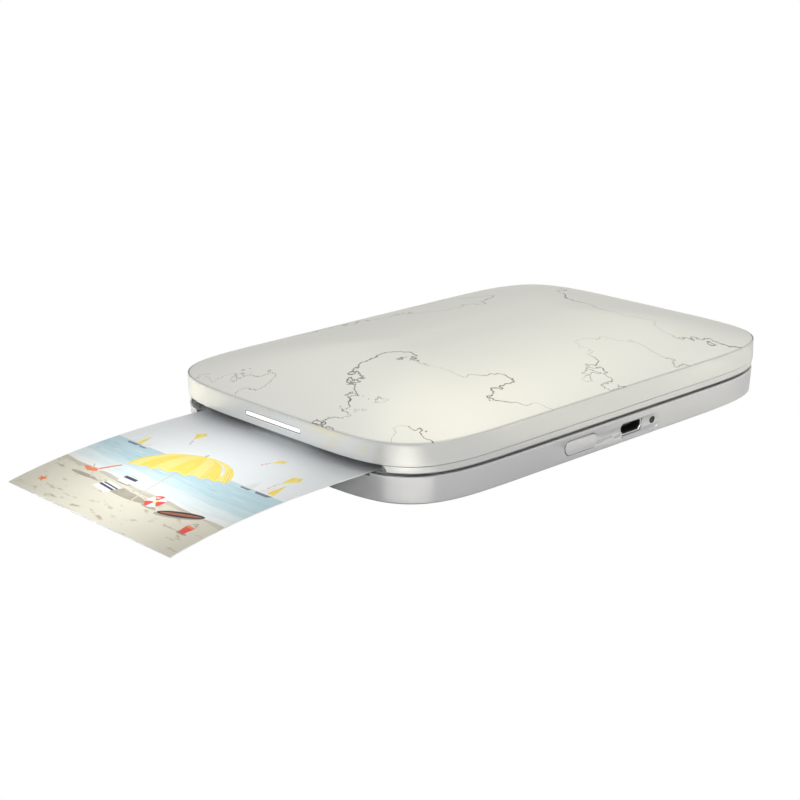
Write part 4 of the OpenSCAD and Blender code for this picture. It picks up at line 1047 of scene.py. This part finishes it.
def contour_group():
    """Thin contour lines: how close a point lies to a level of a slow rough field."""
    tree, given, made = group("contour_lines", [
        ("Scale", "NodeSocketFloat", 20.0), ("Levels", "NodeSocketFloat", 5.0),
        ("Width", "NodeSocketFloat", 0.1)], [("Line", "NodeSocketFloat")])
    place = wire(tree, "ShaderNodeTexCoord")
    step = 0.05 * MM
    flattest = 0.0012

    def field(shift):
        moved = wire(tree, "ShaderNodeVectorMath", {"operation": "ADD"}, i0=place.outputs["Object"],
                     i1=shift)
        noise = wire(tree, "ShaderNodeTexNoise", Vector=moved.outputs[0], Scale=given.outputs["Scale"],
                     Detail=9.0, Roughness=0.52)
        return noise.outputs[0]

    here = field((0, 0, 0))
    dx = maths(tree, "SUBTRACT", field((step, 0, 0)), here)
    dy = maths(tree, "SUBTRACT", field((0, step, 0)), here)
    slope = wire(tree, "ShaderNodeCombineXYZ", X=dx, Y=dy)
    steep = wire(tree, "ShaderNodeVectorMath", {"operation": "LENGTH"}, i0=slope.outputs[0])
    part = maths(tree, "FRACT", maths(tree, "MULTIPLY", here, given.outputs["Levels"]))
    off = maths(tree, "ABSOLUTE", maths(tree, "SUBTRACT", part, 0.5))
    rise = maths(tree, "MULTIPLY", steep.outputs["Value"], given.outputs["Levels"])
    near = maths(tree, "DIVIDE", off, maths(tree, "MAXIMUM", rise, flattest))
    distance = maths(tree, "MULTIPLY", near, step / MM)
    fade = wire(tree, "ShaderNodeTexNoise", Vector=place.outputs["Object"], Scale=60.0, Detail=1.0)
    swell = wire(tree, "ShaderNodeMapRange", Value=fade.outputs[0], From_Min=0.38, From_Max=0.62,
                 To_Min=0.3, To_Max=1.6)
    width = maths(tree, "MULTIPLY", swell.outputs[0], given.outputs["Width"])
    line = wire(tree, "ShaderNodeMapRange", {"interpolation_type": "SMOOTHSTEP"},
                Value=maths(tree, "DIVIDE", distance, width), From_Min=0.4, To_Min=1.0, To_Max=0.0)
    tree.links.new(line.outputs[0], made.inputs["Line"])
    return tree


CONTOURS = contour_group()


def printed_pearl():
    """Pearl lacquer over a print of thin dark contour lines."""
    material, tree = blank_material("printed_pearl")
    look = wire(tree, "ShaderNodeGroup", {"node_tree": LACQUER}, Paint=(0.87, 0.865, 0.825, 1), Flake=FLAKE,
                Cloud=CLOUD, Roughness=0.4)
    lines = wire(tree, "ShaderNodeGroup", {"node_tree": CONTOURS}, Scale=17.0, Levels=6.0, Width=0.11)
    ink = wire(tree, "ShaderNodeMix", {"data_type": "RGBA"}, i0=lines.outputs["Line"],
               i6=look.outputs["Color"], i7=(0.13, 0.125, 0.12, 1))
    bump = wire(tree, "ShaderNodeBump", Strength=0.1, Distance=0.001 * MM, Height=look.outputs["Height"])
    shader = wire(tree, "ShaderNodeBsdfPrincipled", Base_Color=ink.outputs[2], Metallic=0.6,
                  Roughness=look.outputs["Roughness"], Normal=bump.outputs[0])
    wire(tree, "ShaderNodeOutputMaterial", Surface=shader.outputs[0])
    return material


finish_piece(panel_top, printed_pearl(), "cover", "cover_pearl", "cover_panel")

# ---- Status light ----
# A clear light guide pressed into the band from behind. A thin dark ring round it is painted shade,
# the fine outline of the shaded window edge. The lamps on the small board behind it make it glow white.
# width of the dark ring of painted shade round the light's face
BAR_SHADE_RING = 0.1
bar_in = (BAR_L - 2 * BAR_SHADE_RING, BAR_H - 2 * BAR_SHADE_RING)
shade_ring_rim = (BAR_L + 0.06, BAR_H + 0.06)
shade_ring_bore = (bar_in[0] + 0.02, bar_in[1] + 0.02)
bar = front_loft("status_bar", BAR_Z, [(FRONT_Y - 2.6, BAR_L, BAR_H), (FRONT_Y - 0.3, BAR_L, BAR_H),
                                       (FRONT_Y - 0.29, *bar_in), (FRONT_Y - 0.03, *bar_in)])
# the dark ring is painted shade: it stands for the shade in the window's edge
shade_ring = front_loft("bar_gasket", BAR_Z, [(FRONT_Y - 0.28, *shade_ring_rim), (FRONT_Y - 0.08, *shade_ring_rim)])
carve(shade_ring, front_loft("gasket_hole", BAR_Z, [(FRONT_Y - 1, *shade_ring_bore), (FRONT_Y + 1, *shade_ring_bore)]))
smooth(bar, 50)
smooth(shade_ring, 50)


def glow_material():
    """Clear acrylic with the light of its lamp in it."""
    material, tree = blank_material("lit_guide")
    place = wire(tree, "ShaderNodeTexCoord")
    noise = wire(tree, "ShaderNodeTexNoise", Vector=place.outputs["Object"], Scale=300.0)
    level = wire(tree, "ShaderNodeMapRange", Value=noise.outputs[0], To_Min=0.97, To_Max=1.0)
    colour = wire(tree, "ShaderNodeCombineColor", Red=level.outputs[0], Green=level.outputs[0],
                  Blue=level.outputs[0])
    shader = wire(tree, "ShaderNodeBsdfPrincipled", Base_Color=colour.outputs[0], Roughness=0.3,
                  Emission_Color=colour.outputs[0], Emission_Strength=0.55)
    wire(tree, "ShaderNodeOutputMaterial", Surface=shader.outputs[0])
    return material


finish_piece(bar, glow_material(), "cover", "light_lens", "light_bar")
# painted shade: the ring's dark grey stands for the shade round the light's window
finish_piece(shade_ring, lacquered("gasket_grey", (0.10, 0.10, 0.105), 0.0, 0.6), "cover", "dark_plastic")
dress(board_green, "led_board")
